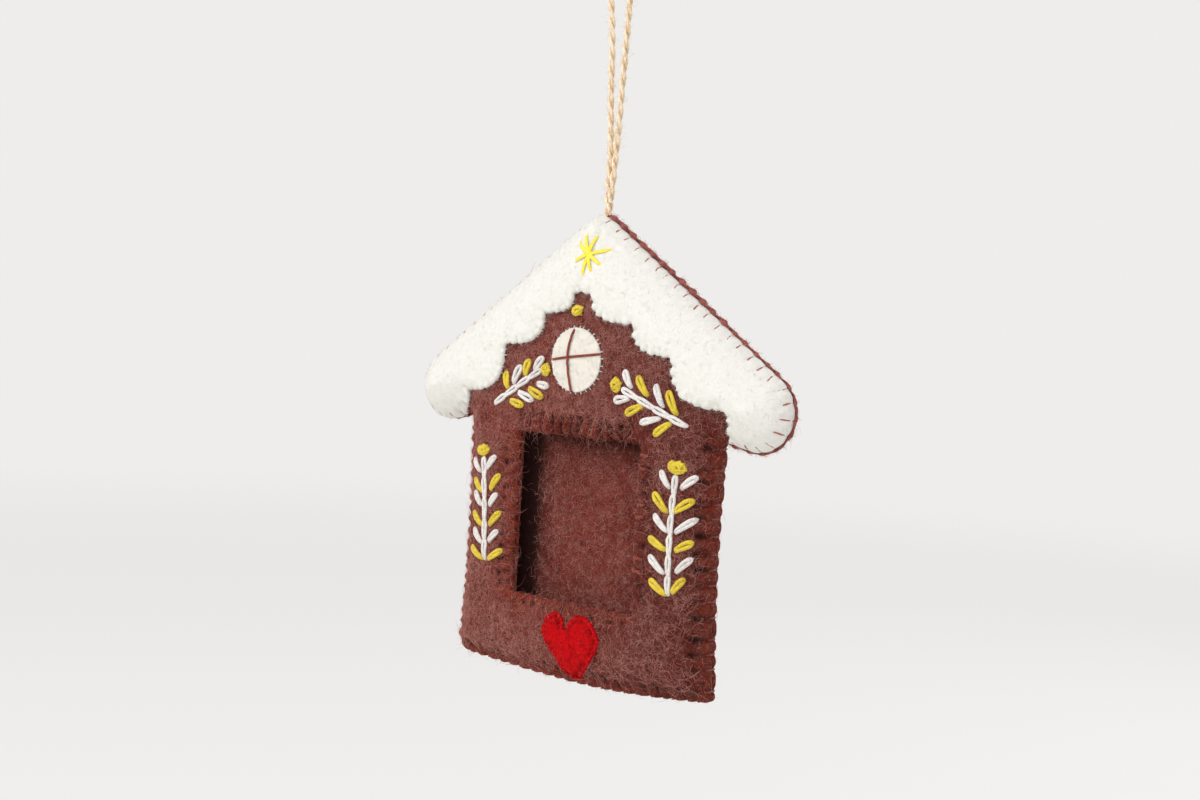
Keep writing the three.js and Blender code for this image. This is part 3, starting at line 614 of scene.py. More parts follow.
    def plan_front(self):
        """The brown front's face, with its edges sewn and its embroidery pressed in."""
        f, t = self.felt, self.thread
        self.front = Field(lambda x, z: self.bare(x, z) + f.lip * self.near_opening(x, z, f.lip_width)
                           + 0.16 * MM * lumps(x, z, 11))
        # The sewn mark holds painted shade for the felt's colour
        self.sewn = Field(lambda x, z: 0 * x)
        for side, (reach, depth, dark, pit) in EDGE_DENTS.items():
            self.sew(self.overcast[side], reach * t.overcast_reach, depth, 0.75 * MM, dark, pit)
        for side, places in self.rim.items():
            # dark: how much painted shade each groove and its dimple get
            depth, rib, dark = (2.3 * MM, 1.3 * MM, 1.5) if side == "top" else (0.9 * MM, 0.6 * MM, 0.45)
            self.sew(places, self.rim_reach[side], depth, rib, dark, 1.2)
        for sprig in SPRIGS.values():
            for base, tip, _ in (*sprig["yellow"], *sprig["white"]):
                for point in (base, tip):
                    self.front.press(self.seen(point, self.front), 1.1 * MM, 0.3 * MM)
            self.front.press(self.seen(sprig["knot"][0], self.front), 2.2 * MM, 0.35 * MM)
        self.front.press(self.seen(GABLE_KNOT[0], self.front), 2.2 * MM, 0.35 * MM)

    def plan_snow(self):
        """The snow's face and back. It lies on the front and wraps over the roof's rim."""
        f = self.felt

        def face(x, z):
            thick = f.snow_thick * (1 - 0.4 * self.near_rim(x, z, 1.4 * MM))
            return self.bare(x, z) - f.gap - thick + 0.14 * MM * lumps(x, z, 21)
        self.snow_face = Field(face)
        for point, inward in all_places(self.blanket):
            reach = 0.85 * self.thread.blanket_reach
            self.snow_face.draw_in(point, inward, reach, 0.08 * MM, 0.8 * MM, 0.4 * MM)
        for point in STAR_TIPS:
            self.snow_face.press(self.seen(point, self.snow_face), 0.9 * MM, 0.35 * MM)
        self.snow_face.press(self.seen(STAR_MIDDLE, self.snow_face), 1.4 * MM, 0.35 * MM)

        def back(x, z):
            wrapped = share_of(1.3 - self.depth(x, z) / (0.8 * MM)) * on_roof(x, z)
            return self.front(x, z) - f.gap + 0.85 * MM * wrapped * wrapped * (3 - 2 * wrapped)
        self.snow_back = Field(back)

    def plan_rear(self):
        """The lining, the front felt's rear face, which turns in at the opening, and the back felt."""
        f, t = self.felt, self.thread
        self.lining_back = Field(lambda x, z: (
            f.lining_back - f.belly * self.puffed(x, z) - f.pocket * self.near_opening(x, z, f.pocket_width)
            + 0.08 * MM * lumps(x, z, 31)))

        def front_back(x, z):
            thin = 1 - 0.35 * self.near_rim(x, z, f.pinch_width) * on_roof(x, z)
            rear = self.front(x, z) + f.front_thick * thin
            turned = self.lining_back(x, z) - f.lining_thick - f.gap
            share = share_of(2.0 - self.beside(x, z) / (1.3 * MM))
            return rear + (np.maximum(turned, rear) - rear) * share
        self.front_back = Field(front_back)
        self.lining_face = Field(lambda x, z: np.maximum(
            self.lining_back(x, z) - f.lining_thick, self.front_back(x, z) + f.gap))
        self.back_face = Field(lambda x, z: (
            f.back - self.near_rim(x, z, f.pinch_width) * MM + twine_swell(x, z)
            + 0.13 * MM * lumps(x, z, 41)))

        def back_front(x, z):
            even_out = 1 - self.near_rim(x, z, MM)
            clear = np.maximum(
                f.back - f.back_thick + twine_swell(x, z) - 0.8 * MM * self.near_rim(x, z, 1.6 * MM)
                + 0.13 * MM * lumps(x, z, 51) * even_out, self.lining_back(x, z) + f.gap)
            lip = ROOF_LIP * share_of((1.0 * MM - self.depth(x, z)) / (0.3 * MM)) * on_roof(x, z)
            return clear - lip
        self.back_front = Field(back_front)
        for point, inward in (*all_places(self.overcast), *all_places(self.blanket)):
            self.back_face.draw_in(point, inward, t.overcast_reach, -0.4 * MM, 0.65 * MM, -0.45 * MM)

    def sew(self, places, reach, depth, rib, dark, pit):
        """Presses an uneven groove under each stitch over an edge and raises a rib between two."""
        tension = np.random.RandomState(len(places)).uniform(0.3, 1.25, (len(places), 2))
        for (point, inward), (pull, far) in zip(places, tension):
            far = reach * (0.7 + 0.35 * far)
            self.front.draw_in(point, inward, far, pull * depth, 0.65 * MM, 0.6 * depth)
            # Painted shade: darkens the felt's colour along the groove and at its dimple
            self.sewn.draw_in(point + inward * 0.4 * MM, inward, far, dark * pull, 0.5 * MM, pit * pull)
        for (point, inward), (other, _) in zip(places, places[1:]):
            self.front.draw_in((point + other) / 2, inward, 0.8 * reach, -rib, 1.0 * MM, 0)

    def seen(self, point, field):
        """Where a place given on the flat plane lands on a face, along the line of sight."""
        place = np.array(point) * MM
        x, z = place
        for _ in range(6):
            share = (float(field(x, z)) - self.eye[1]) / (SEEN_PLANE - self.eye[1])
            x, z = self.eye[[0, 2]] + (place - self.eye[[0, 2]]) * share
        return np.array((x, z))

    def at(self, field, point, lift=0.0):
        """The place on a face over a point of the pattern, lifted off it towards the front."""
        return np.array((point[0], float(field(point[0], point[1])) - lift, point[1]))

    def beyond(self, point, depth):
        """The place over a point of the pattern at a depth of its own."""
        return np.array((point[0], depth, point[1]))

    def placed(self, vertices):
        """Vertices of the pattern in the frame."""
        return np.asarray(vertices) + (0, 0, self.peak)


# The pattern is worked out once, when a step first asks for it
pattern_kept = {}


def pattern_of(context):
    if "pattern" not in pattern_kept:
        pattern_kept["pattern"] = Pattern(context.scene)
    return pattern_kept["pattern"]


# Meshes
def new_piece(name, vertices, faces, finish, body="house"):
    data = bpy.data.meshes.new(name)
    data.from_pydata(np.asarray(vertices).tolist(), [], faces)
    data.polygons.foreach_set("use_smooth", np.ones(len(data.polygons), bool))
    data.validate()
    data.update()
    piece = bpy.data.objects.new(name, data)
    bpy.context.scene.collection.objects.link(piece)
    data.materials.append(FINISHES[finish].made())
    if body:
        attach(piece, body)
    return piece


def felt_sheet(pattern, outer, holes, front, back, rounding, spacing, seed, hole_rounding=None):
    """A closed felt sheet between two depths, with its cut edges rounded off."""
    rings = [outer[::-1] if signed_area(outer) < 0 else outer]
    rings += [hole[::-1] if signed_area(hole) > 0 else hole for hole in holes]
    radii = [rounding] + [hole_rounding or rounding] * (len(rings) - 1)
    points, share_in, curve, constraints, spans = [], [], [], [], []

    def add(spots, part, radius):
        points.append(spots)
        share_in.append(np.full(len(spots), float(part)))
        curve.append(np.full(len(spots), radius))

    for ring, radius in zip(rings, radii):
        first = sum(len(part) for part in points)
        steps = np.arange(len(ring))
        constraints += np.column_stack((first + steps, first + (steps + 1) % len(ring))).tolist()
        spans.append((first, len(ring)))
        add(ring, 0, radius)
    tree = kdtree.KDTree(sum(len(ring) for ring in rings))
    for n, (x, z) in enumerate(np.vstack(rings)):
        tree.insert((x, z, 0), n)
    tree.balance()

    def in_sheet(spots):
        return inside(rings[0], spots) & ~np.any([inside(hole, spots) for hole in rings[1:]], axis=0)

    def clear(spots, least):
        return np.array([tree.find((x, z, 0))[2] > least for x, z in spots], bool)
    for ring, radius in zip(rings, radii):
        for part in (0.12, 0.4, 1.0):
            inner = ring - inward_of(ring) * radius * part
            add(inner[clear(inner, 0.93 * radius * part)], part, radius)
    low, high = rings[0].min(0), rings[0].max(0)
    jitter = np.random.RandomState(seed)

    def scattered(step):
        rows = np.arange(low[1], high[1], step * math.sqrt(0.75))
        spots = []
        for n, z in enumerate(rows):
            x = np.arange(low[0] + (n % 2) * step / 2, high[0], step)
            spots.append(np.column_stack((x, np.full(len(x), z))))
        spots = np.vstack(spots)
        return spots + jitter.uniform(-0.2, 0.2, spots.shape) * step
    coarse, fine = scattered(spacing), scattered(0.55 * spacing)

    def sewn(spots):
        return (pattern.depth(*spots.T) < 4.2 * MM) | (pattern.beside(*spots.T) < 5.4 * MM)
    grid = np.vstack((coarse[~sewn(coarse)], fine[sewn(fine)]))
    grid = grid[in_sheet(grid)]
    add(grid[clear(grid, max(radii) + 0.45 * spacing)], 1, rounding)
    flat = np.vstack(points)
    share_in, curve = np.concatenate(share_in), np.concatenate(curve)
    made = geometry.delaunay_2d_cdt([Vector(p) for p in flat], constraints, [], 0, 1e-9)
    flat_out = np.array([tuple(v) for v in made[0]])
    source = [ids[0] if ids else -1 for ids in made[3]]
    share_in = np.array([share_in[n] if n >= 0 else 1 for n in source])
    curve = np.array([curve[n] if n >= 0 else rounding for n in source])
    triangles = np.array([f for f in made[2] if len(f) == 3])
    triangles = triangles[in_sheet(flat_out[triangles].mean(1))]
    a, b, c = (flat_out[triangles[:, k]] for k in range(3))
    turned = (b[:, 0] - a[:, 0]) * (c[:, 1] - a[:, 1]) - (b[:, 1] - a[:, 1]) * (c[:, 0] - a[:, 0]) < 0
    triangles[turned] = triangles[turned][:, ::-1]
    x, z = flat_out.T
    bend = 1 - np.sqrt(1 - (1 - share_in) ** 2)
    front_y, back_y = front(x, z) + curve * bend, back(x, z) - np.minimum(curve, rounding) * bend
    squeezed = front_y > back_y - 0.1 * MM
    middle = (front_y + back_y) / 2
    front_y[squeezed] = middle[squeezed] - 0.05 * MM
    back_y[squeezed] = middle[squeezed] + 0.05 * MM
    total = len(flat_out)
    vertices = np.vstack((np.column_stack((x, front_y, z)), np.column_stack((x, back_y, z))))
    faces = triangles.tolist() + (triangles[:, ::-1] + total).tolist()
    back_at = {}
    for place, ids in enumerate(made[3]):
        for n in ids:
            back_at[n] = place
    for first, number in spans:
        loop = [back_at[first + n] for n in range(number)]
        for p, q in zip(loop, loop[1:] + loop[:1]):
            if p != q:
                faces.append((q, p, p + total, q + total))
    return pattern.placed(vertices), faces


def signed_area(line):
    x, z = line.T
    return 0.5 * float(np.sum(x * np.roll(z, -1) - np.roll(x, -1) * z))


def vertex_places(mesh):
    places = np.zeros(3 * len(mesh.vertices), np.float32)
    mesh.vertices.foreach_get("co", places)
    return places.reshape(-1, 3).astype(float)


def keep_values(mesh, name, values):
    """Stores a number for each vertex, for the mesh's material."""
    mesh.attributes.new(name, "FLOAT", "POINT").data.foreach_set("value", values.astype(np.float32))


def marked(pattern, piece, name, field, front_only=False):
    """Keeps a field of the pattern on a piece's vertices, for its material."""
    x, _, z = vertex_places(piece.data).T
    values = share_of(field(x, z - pattern.peak))
    if front_only:
        values[len(values) // 2:] = 0
    keep_values(piece.data, name, values)


class Yarn:
    """Collects lengths of thread as closed tubes in one mesh."""

    def __init__(self, seed=0):
        self.vertices, self.faces, self.creases, self.total = [], [], [], 0
        self.random = np.random.RandomState(seed)

    def lay(self, path, thick, lobes=3, groove=0.16, turn=3.2 * MM, flat=1.0, sides=9, up=(0, -1, 0),
            phase=None, swell=None, cut=0.35):
        """A thread along a path: lobes are its plies, groove how deep they part, turn their lay."""
        path = np.asarray(path, float)
        way = unit(np.gradient(path, axis=0))
        run = measured(path)
        phase = self.random.uniform(0, 2 * np.pi) if phase is None else phase
        angles = np.linspace(0, 2 * np.pi, sides, endpoint=False)
        normal = np.array(up, float)
        radius = 0.5 * thick * (np.ones(len(path)) if swell is None else swell)
        ends = np.minimum(run, run[-1] - run) / (0.5 * thick)
        radius = radius * np.sqrt(share_of(cut + ends))
        # Painted shade where the plies meet, kept on the mesh for the finish to darken
        rings, ply_shade = [], []
        for n, spot in enumerate(path):
            normal = normal - way[n] * (normal @ way[n])
            normal /= np.linalg.norm(normal) + 1e-12
            side = np.cross(way[n], normal)
            twist = phase + 2 * np.pi * run[n] / turn
            if lobes == 2:
                turned = angles - twist
                around = 0.42 * np.abs(np.cos(turned)) + np.sqrt(0.58 ** 2 - (0.42 * np.sin(turned)) ** 2)
                around = groove * around + (1 - groove) * 0.93
                ply_shade.append(np.abs(np.sin(turned)) ** 6)
            else:
                part = np.abs(np.cos(0.5 * lobes * (angles - twist)))
                around = 1 - groove + groove * part
                ply_shade.append((1 - part) ** 1.5)
            around = around[:, None] * radius[n]
            outward = np.cos(angles)[:, None] * side + flat * np.sin(angles)[:, None] * normal
            rings.append(spot + around * outward)
        first = self.total
        self.vertices.append(np.vstack((*rings, path[:1], path[-1:])))
        self.creases.append(np.concatenate((*ply_shade, (0, 0))))
        steps = len(path) - 1
        n, k = np.meshgrid(np.arange(steps), np.arange(sides), indexing="ij")
        here, after = first + n * sides + k, first + n * sides + (k + 1) % sides
        self.faces += np.stack((here, here + sides, after + sides, after), -1).reshape(-1, 4).tolist()
        start, stop = first + len(path) * sides, first + len(path) * sides + 1
        last = first + steps * sides
        for k in range(sides):
            self.faces.append((start, first + k, first + (k + 1) % sides))
            self.faces.append((stop, last + (k + 1) % sides, last + k))
        self.total += len(path) * sides + 2
        return self

    def piece(self, name, finish, body="house"):
        made = new_piece(name, np.vstack(self.vertices), self.faces, finish, body)
        keep_values(made.data, "crease", np.concatenate(self.creases))
        return made


def fuzz(name, piece, number, finish, seed, long=(1.2, 3.6), lift=0.35, stand=0.0, thick=None, steps=5,
         choose=None, body="house"):
    """Loose fibres that lie curled on a piece, or stand out from it."""
    random = np.random.RandomState(seed)
    mesh = piece.data
    mesh.calc_loop_triangles()
    corners = np.zeros(3 * len(mesh.loop_triangles), np.int32)
    mesh.loop_triangles.foreach_get("vertices", corners)
    corners, places = corners.reshape(-1, 3), vertex_places(mesh)
    a, b, c = (places[corners[:, k]] for k in range(3))
    cross = np.cross(b - a, c - a)
    area = np.linalg.norm(cross, axis=1)
    normals = cross / (area[:, None] + 1e-15)
    weight = area if choose is None else area * choose((a + b + c) / 3, normals)
    picked = random.choice(len(area), number, p=weight / weight.sum())
    u, v = random.uniform(size=(2, number, 1))
    over = u + v > 1
    u, v = np.where(over, 1 - u, u), np.where(over, 1 - v, v)
    root = a[picked] + u * (b - a)[picked] + v * (c - a)[picked]
    normal = normals[picked]
    random_way = random.normal(size=(number, 3))
    way = random_way - normal * (random_way * normal).sum(1)[:, None]
    way = unit(way, 0)
    side = np.cross(normal, way)
    reach = random.uniform(long[0], long[1], (number, 1)) * MM
    curl = random.normal(0, 1.1, (number, 1))
    wave = random.uniform(0, 2 * np.pi, (number, 1))
    rise = random.uniform(0.3, 1, (number, 1)) * lift * MM
    width = bpy.context.scene.house_fuzz.thick if thick is None else thick
    safe_curl = np.where(curl == 0, 1, curl)
    centres = []
    for n in range(steps + 1):
        t = n / steps
        angle = curl * t
        bent = np.abs(angle) > 1e-3
        forward = reach * np.where(bent, np.sin(angle) / safe_curl, t)
        sideways = reach * np.where(bent, (1 - np.cos(angle)) / safe_curl, 0)
        sideways = sideways + 0.12 * reach * np.sin(2.2 * np.pi * t + wave) * t
        lifted = rise * math.sin(math.pi * min(1, 0.15 + 0.8 * t)) * (1 - stand) + stand * reach * t
        forward = forward * (1 - 0.75 * stand)
        centres.append(root + way * forward + side * sideways + normal * (lifted - 0.05 * MM))
    centres = np.stack(centres, 1)
    tangent = unit(np.gradient(centres, axis=1), 1e-15)
    first = unit(np.cross(tangent, side[:, None]), 1e-15)
    second = np.cross(tangent, first)
    taper = np.array([0.8, 1, 1, 0.9, 0.7, 0.35, 0.3])[np.linspace(0, 5, steps + 1).astype(int)]
    radius = 0.5 * width * random.uniform(0.7, 1.25, (number, 1, 1)) * taper[None, :, None]
    rings = np.stack([centres + radius * (math.cos(w) * first + math.sin(w) * second)
                      for w in (0, 2 * math.pi / 3, 4 * math.pi / 3)], 2)
    each = 3 * (steps + 1)
    vertices = rings.reshape(-1, 3)
    fibre, n, k = np.meshgrid(np.arange(number), np.arange(steps), np.arange(3), indexing="ij")
    here = fibre * each + n * 3 + k
    after = fibre * each + n * 3 + (k + 1) % 3
    faces = np.stack((here, after, after + 3, here + 3), -1).reshape(-1, 4).tolist()
    starts = np.arange(number)[:, None] * each
    faces += (starts + (0, 2, 1)).tolist() + (starts + 3 * steps + (0, 1, 2)).tolist()
    return new_piece(name, vertices, faces, finish, body)


# Shader maths
class Socket:
    """A number on its way through a material, so that sums of masks read as sums."""

    def __init__(self, tree, socket):
        self.tree, self.socket = tree, socket

    def maths(self, operation, *others):
        values = {n + 1: other for n, other in enumerate(others)}
        return node(self.tree, "ShaderNodeMath", {"operation": operation}, {0: self, **values})

    def __add__(self, other):
        return self.maths("ADD", other)

    def __sub__(self, other):
        return self.maths("SUBTRACT", other)

    def __rsub__(self, other):
        return node(self.tree, "ShaderNodeMath", {"operation": "SUBTRACT"}, {0: other, 1: self})

    def __mul__(self, other):
        return self.maths("MULTIPLY", other)

    def __truediv__(self, other):
        return self.maths("DIVIDE", other)

    __radd__, __rmul__ = __add__, __mul__

    def size(self):
        return self.maths("ABSOLUTE")

    def between(self, low, high):
        """0 below low, 1 above high and smooth between them."""
        return node(self.tree, "ShaderNodeMapRange", {"interpolation_type": "SMOOTHSTEP"},
                    {"Value": self, "From Min": low, "From Max": high})


def node(tree, kind, settings=None, values=None, output=0):
    """Adds a node, with its settings first, then its sockets' values or links."""
    made = tree.nodes.new(kind)
    for name, value in (settings or {}).items():
        if name == "stops":
            ramp = made.color_ramp
            while len(ramp.elements) < len(value):
                ramp.elements.new(0.5)
            for element, (place, tint) in zip(ramp.elements, value):
                element.position, element.color = place, (*tint, 1)
        else:
            setattr(made, name, value)
    for name, value in (values or {}).items():
        if isinstance(value, Socket):
            tree.links.new(value.socket, made.inputs[name])
        elif value is not None:
            made.inputs[name].default_value = value
    return Socket(tree, made.outputs[output]) if made.outputs else None


class Finish:
    """A procedural material that is made when a piece first needs it."""

    def __init__(self, name, slot, build):
        self.name, self.slot, self.build, self.material = name, slot, build, None

    def made(self):
        if self.material is None:
            self.material = bpy.data.materials.new(self.name)
            self.material.use_nodes = True
            tree = self.material.node_tree
            tree.nodes.clear()
            self.build(tree, bpy.context.scene.house_colours)
        return self.material


def attribute(tree, name):
    return node(tree, "ShaderNodeAttribute", {"attribute_name": name}, None, 2)


def object_place(tree):
    return node(tree, "ShaderNodeTexCoord", None, None, 3)


def seen_straight(tree):
    """1 for a ray from the camera or by way of a shiny or clear surface, and 0 for other light."""
    rays = tree.nodes.new("ShaderNodeLightPath")
    seen = Socket(tree, rays.outputs["Is Camera Ray"]) + Socket(tree, rays.outputs["Is Glossy Ray"])
    return (seen + Socket(tree, rays.outputs["Is Transmission Ray"])).maths("MINIMUM", 1.0)


def grain(tree, place, size, detail=2.0, distortion=0.0, roughness=0.55):
    """Noise from 0 to 1 with features about one size across."""
    return node(tree, "ShaderNodeTexNoise", {"noise_dimensions": "3D"},
                {"Vector": place, "Scale": 1 / size, "Detail": detail, "Roughness": roughness,
                 "Distortion": distortion})


def strands(noise, width):
    """Thin wandering lines where a noise passes its middle value."""
    return 1 - ((noise - 0.5).size() / width).between(0, 1)


def mixed(tree, factor, first, second):
    values = {0: factor, 6: (*first, 1) if isinstance(first, tuple) else first,
              7: (*second, 1) if isinstance(second, tuple) else second}
    return node(tree, "ShaderNodeMix", {"data_type": "RGBA"}, values, 2)


def surface(tree, base, bump_height, strength, distance, rough, sheen=0.0, sheen_rough=0.5, tint=(1, 1, 1),
            specular=0.25, glow=0.0):
    bump = node(tree, "ShaderNodeBump", None,
                {"Strength": strength, "Distance": distance, "Height": bump_height})
    # Glow gives off the base colour as painted light
    shader = node(tree, "ShaderNodeBsdfPrincipled", None, {
        "Base Color": base, "Roughness": rough, "Normal": bump, "Sheen Weight": sheen,
        "Sheen Roughness": sheen_rough, "Sheen Tint": (*tint, 1), "Specular IOR Level": specular,
        "Emission Color": base, "Emission Strength": glow})
    node(tree, "ShaderNodeOutputMaterial", None, {"Surface": shader})


def plain(value):
    return tuple(value)[:3]


def brown_felt(tree, c):
    place = object_place(tree)
    cloud = grain(tree, place, 8 * MM, 2)
    wool = grain(tree, place, 1.0 * MM, 3, 1.2)
    fine = grain(tree, place, 0.4 * MM, 2, 0.6)
    pits = grain(tree, place, 0.65 * MM, 1, 0.8).between(0.57, 0.7)
    sewn = attribute(tree, "sewn")
    rusty = attribute(tree, "rusty") * grain(tree, place, 1.3 * MM, 2, 0.8).between(0.38, 0.58)
    hair = strands(grain(tree, place, 2.6 * MM, 1.5, 3.0), 0.022)
    hair = hair * grain(tree, place, 4 * MM, 1).between(0.4, 0.6)
    pale = strands(grain(tree, place, 1.5 * MM, 1.5, 2.4), 0.035)
    pale = pale * grain(tree, place, 2 * MM, 1).between(0.38, 0.6)
    thin = strands(grain(tree, place, 0.8 * MM, 1, 2.6), 0.06)
    thin = thin * grain(tree, place, 1.1 * MM, 1).between(0.35, 0.6)
    base = mixed(tree, (wool * 0.45 + fine * 0.55).between(0.3, 0.66), plain(c.brown_dark), plain(c.brown))
    base = mixed(tree, (cloud * 0.4 + fine * 0.6).between(0.42, 0.66) * 0.4, base, plain(c.brown_light))
    base = mixed(tree, pits * 0.8, base, plain(c.brown_deep))
    # Rust colour, a little brightened: rust thread at the opening's lip and the rim, and painted light on
    # that shaded lip and rim
    base = mixed(tree, rusty * 0.72, base, tuple(1.15 * value for value in plain(c.rust)))
    base = mixed(tree, thin * 0.45, base, plain(c.brown_light))
    base = mixed(tree, pale * 0.6, base, plain(c.brown_fibre))
    base = mixed(tree, hair * 0.7, base, plain(c.brown_fibre))
    # Painted shade in the stitch grooves, dimples and the back felt's pocket, and a darkening of the front
    # towards the right, all from the sewn mark
    base = mixed(tree, sewn * 0.93, base, plain(c.brown_deep))
    height = wool * 0.45 + fine * 0.5 - pits * 0.5 + pale * 0.35 + thin * 0.25 + hair * 0.4
    surface(tree, base, height, 0.85, 0.4 * MM, 0.95, sheen=0.03, tint=(1, 0.8, 0.75), specular=0.05)


def pale_felt(tree, shade, body, size=1.0, sheen=0.06, glow=0.0, pricks=0.0, bumps=0.28):
    """Felt of one colour. Its glow is painted light, standing for the light that passes through white wool.
    """
    place = object_place(tree)
    wool = grain(tree, place, 1.3 * MM * size, 3, 1.0)
    fine = grain(tree, place, 0.4 * MM, 2, 0.6)
    lines = strands(grain(tree, place, 1.2 * MM, 1.5, 2.2), 0.05)
    base = mixed(tree, (wool * 0.55 + fine * 0.45).between(0.25, 0.6), shade, body)
    if pricks:
        # Random dark pits, and painted shade in the needle holes from the sewn mark
        sewn = attribute(tree, "sewn")
        deep = tuple(0.35 * value for value in shade)
        base = mixed(tree, grain(tree, place, 0.7 * MM, 1, 0.8).between(0.56, 0.72) * 0.6, base, deep)
        base = mixed(tree, sewn * pricks, base, deep)
    height = wool * 0.6 + fine * 0.5 + lines * 0.3
    surface(tree, base, height, bumps, 0.3 * MM, 0.95, sheen=sheen, specular=0.06, glow=glow)


def spun(tree, shade, body, size=0.5 * MM, rough=0.6, sheen=0.15, specular=0.3, glow=0.0, stretch=1.0,
         crease=0.45):
    place = object_place(tree)
    if stretch != 1:
        scale = (1, 1, 1 / stretch)
        place = node(tree, "ShaderNodeVectorMath", {"operation": "MULTIPLY"}, {0: place, 1: scale})
    ply = grain(tree, place, size, 2, 0.5)
    wide = grain(tree, place, 6 * size, 1)
    ply_shade = attribute(tree, "crease")
    base = mixed(tree, (ply * 0.75 + wide * 0.25).between(0.3, 0.6), shade, body)
    # Painted shade: darker in the creases between the plies
    base = mixed(tree, ply_shade * crease, base, tuple(0.8 * value for value in shade))
    surface(tree, base, ply, 0.3, 0.12 * MM, rough, sheen=sheen, specular=specular, glow=glow)


def two_tone(shader, name, slot, shade, body, **settings):
    """A finish whose shader takes two of the scene's colours, by their names."""
    def build(tree, c):
        shader(tree, plain(getattr(c, shade)), plain(getattr(c, body)), **settings)
    return Finish(name, slot, build)


FIBRE = {"size": 1.2 * MM, "rough": 0.9, "sheen": 0.1, "specular": 0.1}
# Glow is painted light: the white and cream felt, the white fibres and the lemon star give off some of their
# own colour
FINISHES = {
    "brown": Finish("brown wool felt", "felt_brown", brown_felt),
    "brown_back": Finish("brown wool felt, back", "felt_brown_back", brown_felt),
    "white": two_tone(pale_felt, "white wool felt", "felt_white", "white_shade", "white", glow=0.08),
    "cream": two_tone(pale_felt, "cream wool felt", "felt_cream", "white_shade", "cream", size=0.8,
                      glow=0.05),
    "red": two_tone(pale_felt, "red wool felt", "felt_red", "red_shade", "red", sheen=0, pricks=1.0,
                    bumps=0.8),
    "wadding": two_tone(pale_felt, "wadding", "wadding", "white_shade", "white"),
    "brown_fibre": two_tone(spun, "brown fibres", "felt_brown", "brown_light", "brown_fibre", **FIBRE),
    "white_fibre": two_tone(spun, "white fibres", "felt_white", "white_shade", "white", **FIBRE, glow=0.12),
    "red_fibre": two_tone(spun, "red fibres", "felt_red", "red", "red_fibre", **{**FIBRE, "sheen": 0}),
    "thread": two_tone(spun, "brown sewing thread", "thread_brown", "thread_shade", "thread", size=0.4 * MM,
                       rough=0.8),
    "tick": two_tone(spun, "blanket legs", "thread_brown", "thread", "tick"),
    "tick_pale": two_tone(spun, "pale blanket legs", "thread_brown", "tick", "tick_pale"),
    "cross": two_tone(spun, "window cross thread", "thread_brown", "rust_shade", "rust"),
    "overcast": two_tone(spun, "wall sewing thread", "thread_brown", "rust_shade", "overcast"),
    "rust": two_tone(spun, "rust sewing thread", "thread_rust", "rust_shade", "rust"),
    "lemon": two_tone(spun, "lemon embroidery thread", "thread_yellow", "yellow", "lemon", rough=0.5,
                      glow=0.08),
    "yellow": two_tone(spun, "yellow embroidery thread", "thread_yellow", "yellow_shade", "yellow",
                       rough=0.5),
    "floss": two_tone(spun, "white embroidery thread", "thread_white", "floss_shade", "floss", rough=0.5),
    "jute": two_tone(spun, "jute twine", "jute", "jute_shade", "jute", size=0.3 * MM, rough=0.85, sheen=0.1,
                     specular=0.15, stretch=7.0, crease=0.75),
}


# Camera and stage
CAMERA_PLACE = (0.25476, -0.30067, -0.10297)
CAMERA_YAW, CAMERA_PITCH, CAMERA_ROLL = 0.69948, 0.04301, 0.05739
CAMERA_LENS = 45
CAMERA_SENSOR = 36
FLOOR_BELOW = 0.16
FLOOR_WIDE = 2.4

# Each lamp: place, width and power. All are aimed at one point in the house
LAMPS = {
    "window light": ((-0.7, -0.95, 0.36), 0.55, 7.5),
    "top light": ((0.0, -0.7, 0.85), 0.7, 7.3),
    "fill light": ((0.85, -0.85, 0.1), 0.8, 5.0),
    "back light": ((0.3, 0.9, 0.45), 0.9, 8.0),
}
LAMP_TARGET = (0, 0, -0.13)
WORLD_LIGHT = 0.36


def backdrop_shader(tree, c):
    """Pale to the camera, and lit like any floor otherwise, fading out before its edge."""
    tint = (*plain(c.pale), 1)
    lit = node(tree, "ShaderNodeBsdfDiffuse", None, {"Color": tint})
    shown = node(tree, "ShaderNodeEmission", None, {"Color": tint, "Strength": 1.0})
    floor = node(tree, "ShaderNodeMixShader", None, {0: seen_straight(tree) * 0.8, 1: lit, 2: shown})
    place = object_place(tree)
    out = node(tree, "ShaderNodeVectorMath", {"operation": "LENGTH"}, {0: place}, 1)
    clear = node(tree, "ShaderNodeBsdfTransparent")
    faded = node(tree, "ShaderNodeMixShader", None, {
        0: (out / FLOOR_WIDE).between(0.3, 0.95), 1: floor, 2: clear})
    node(tree, "ShaderNodeOutputMaterial", None, {"Surface": faded})


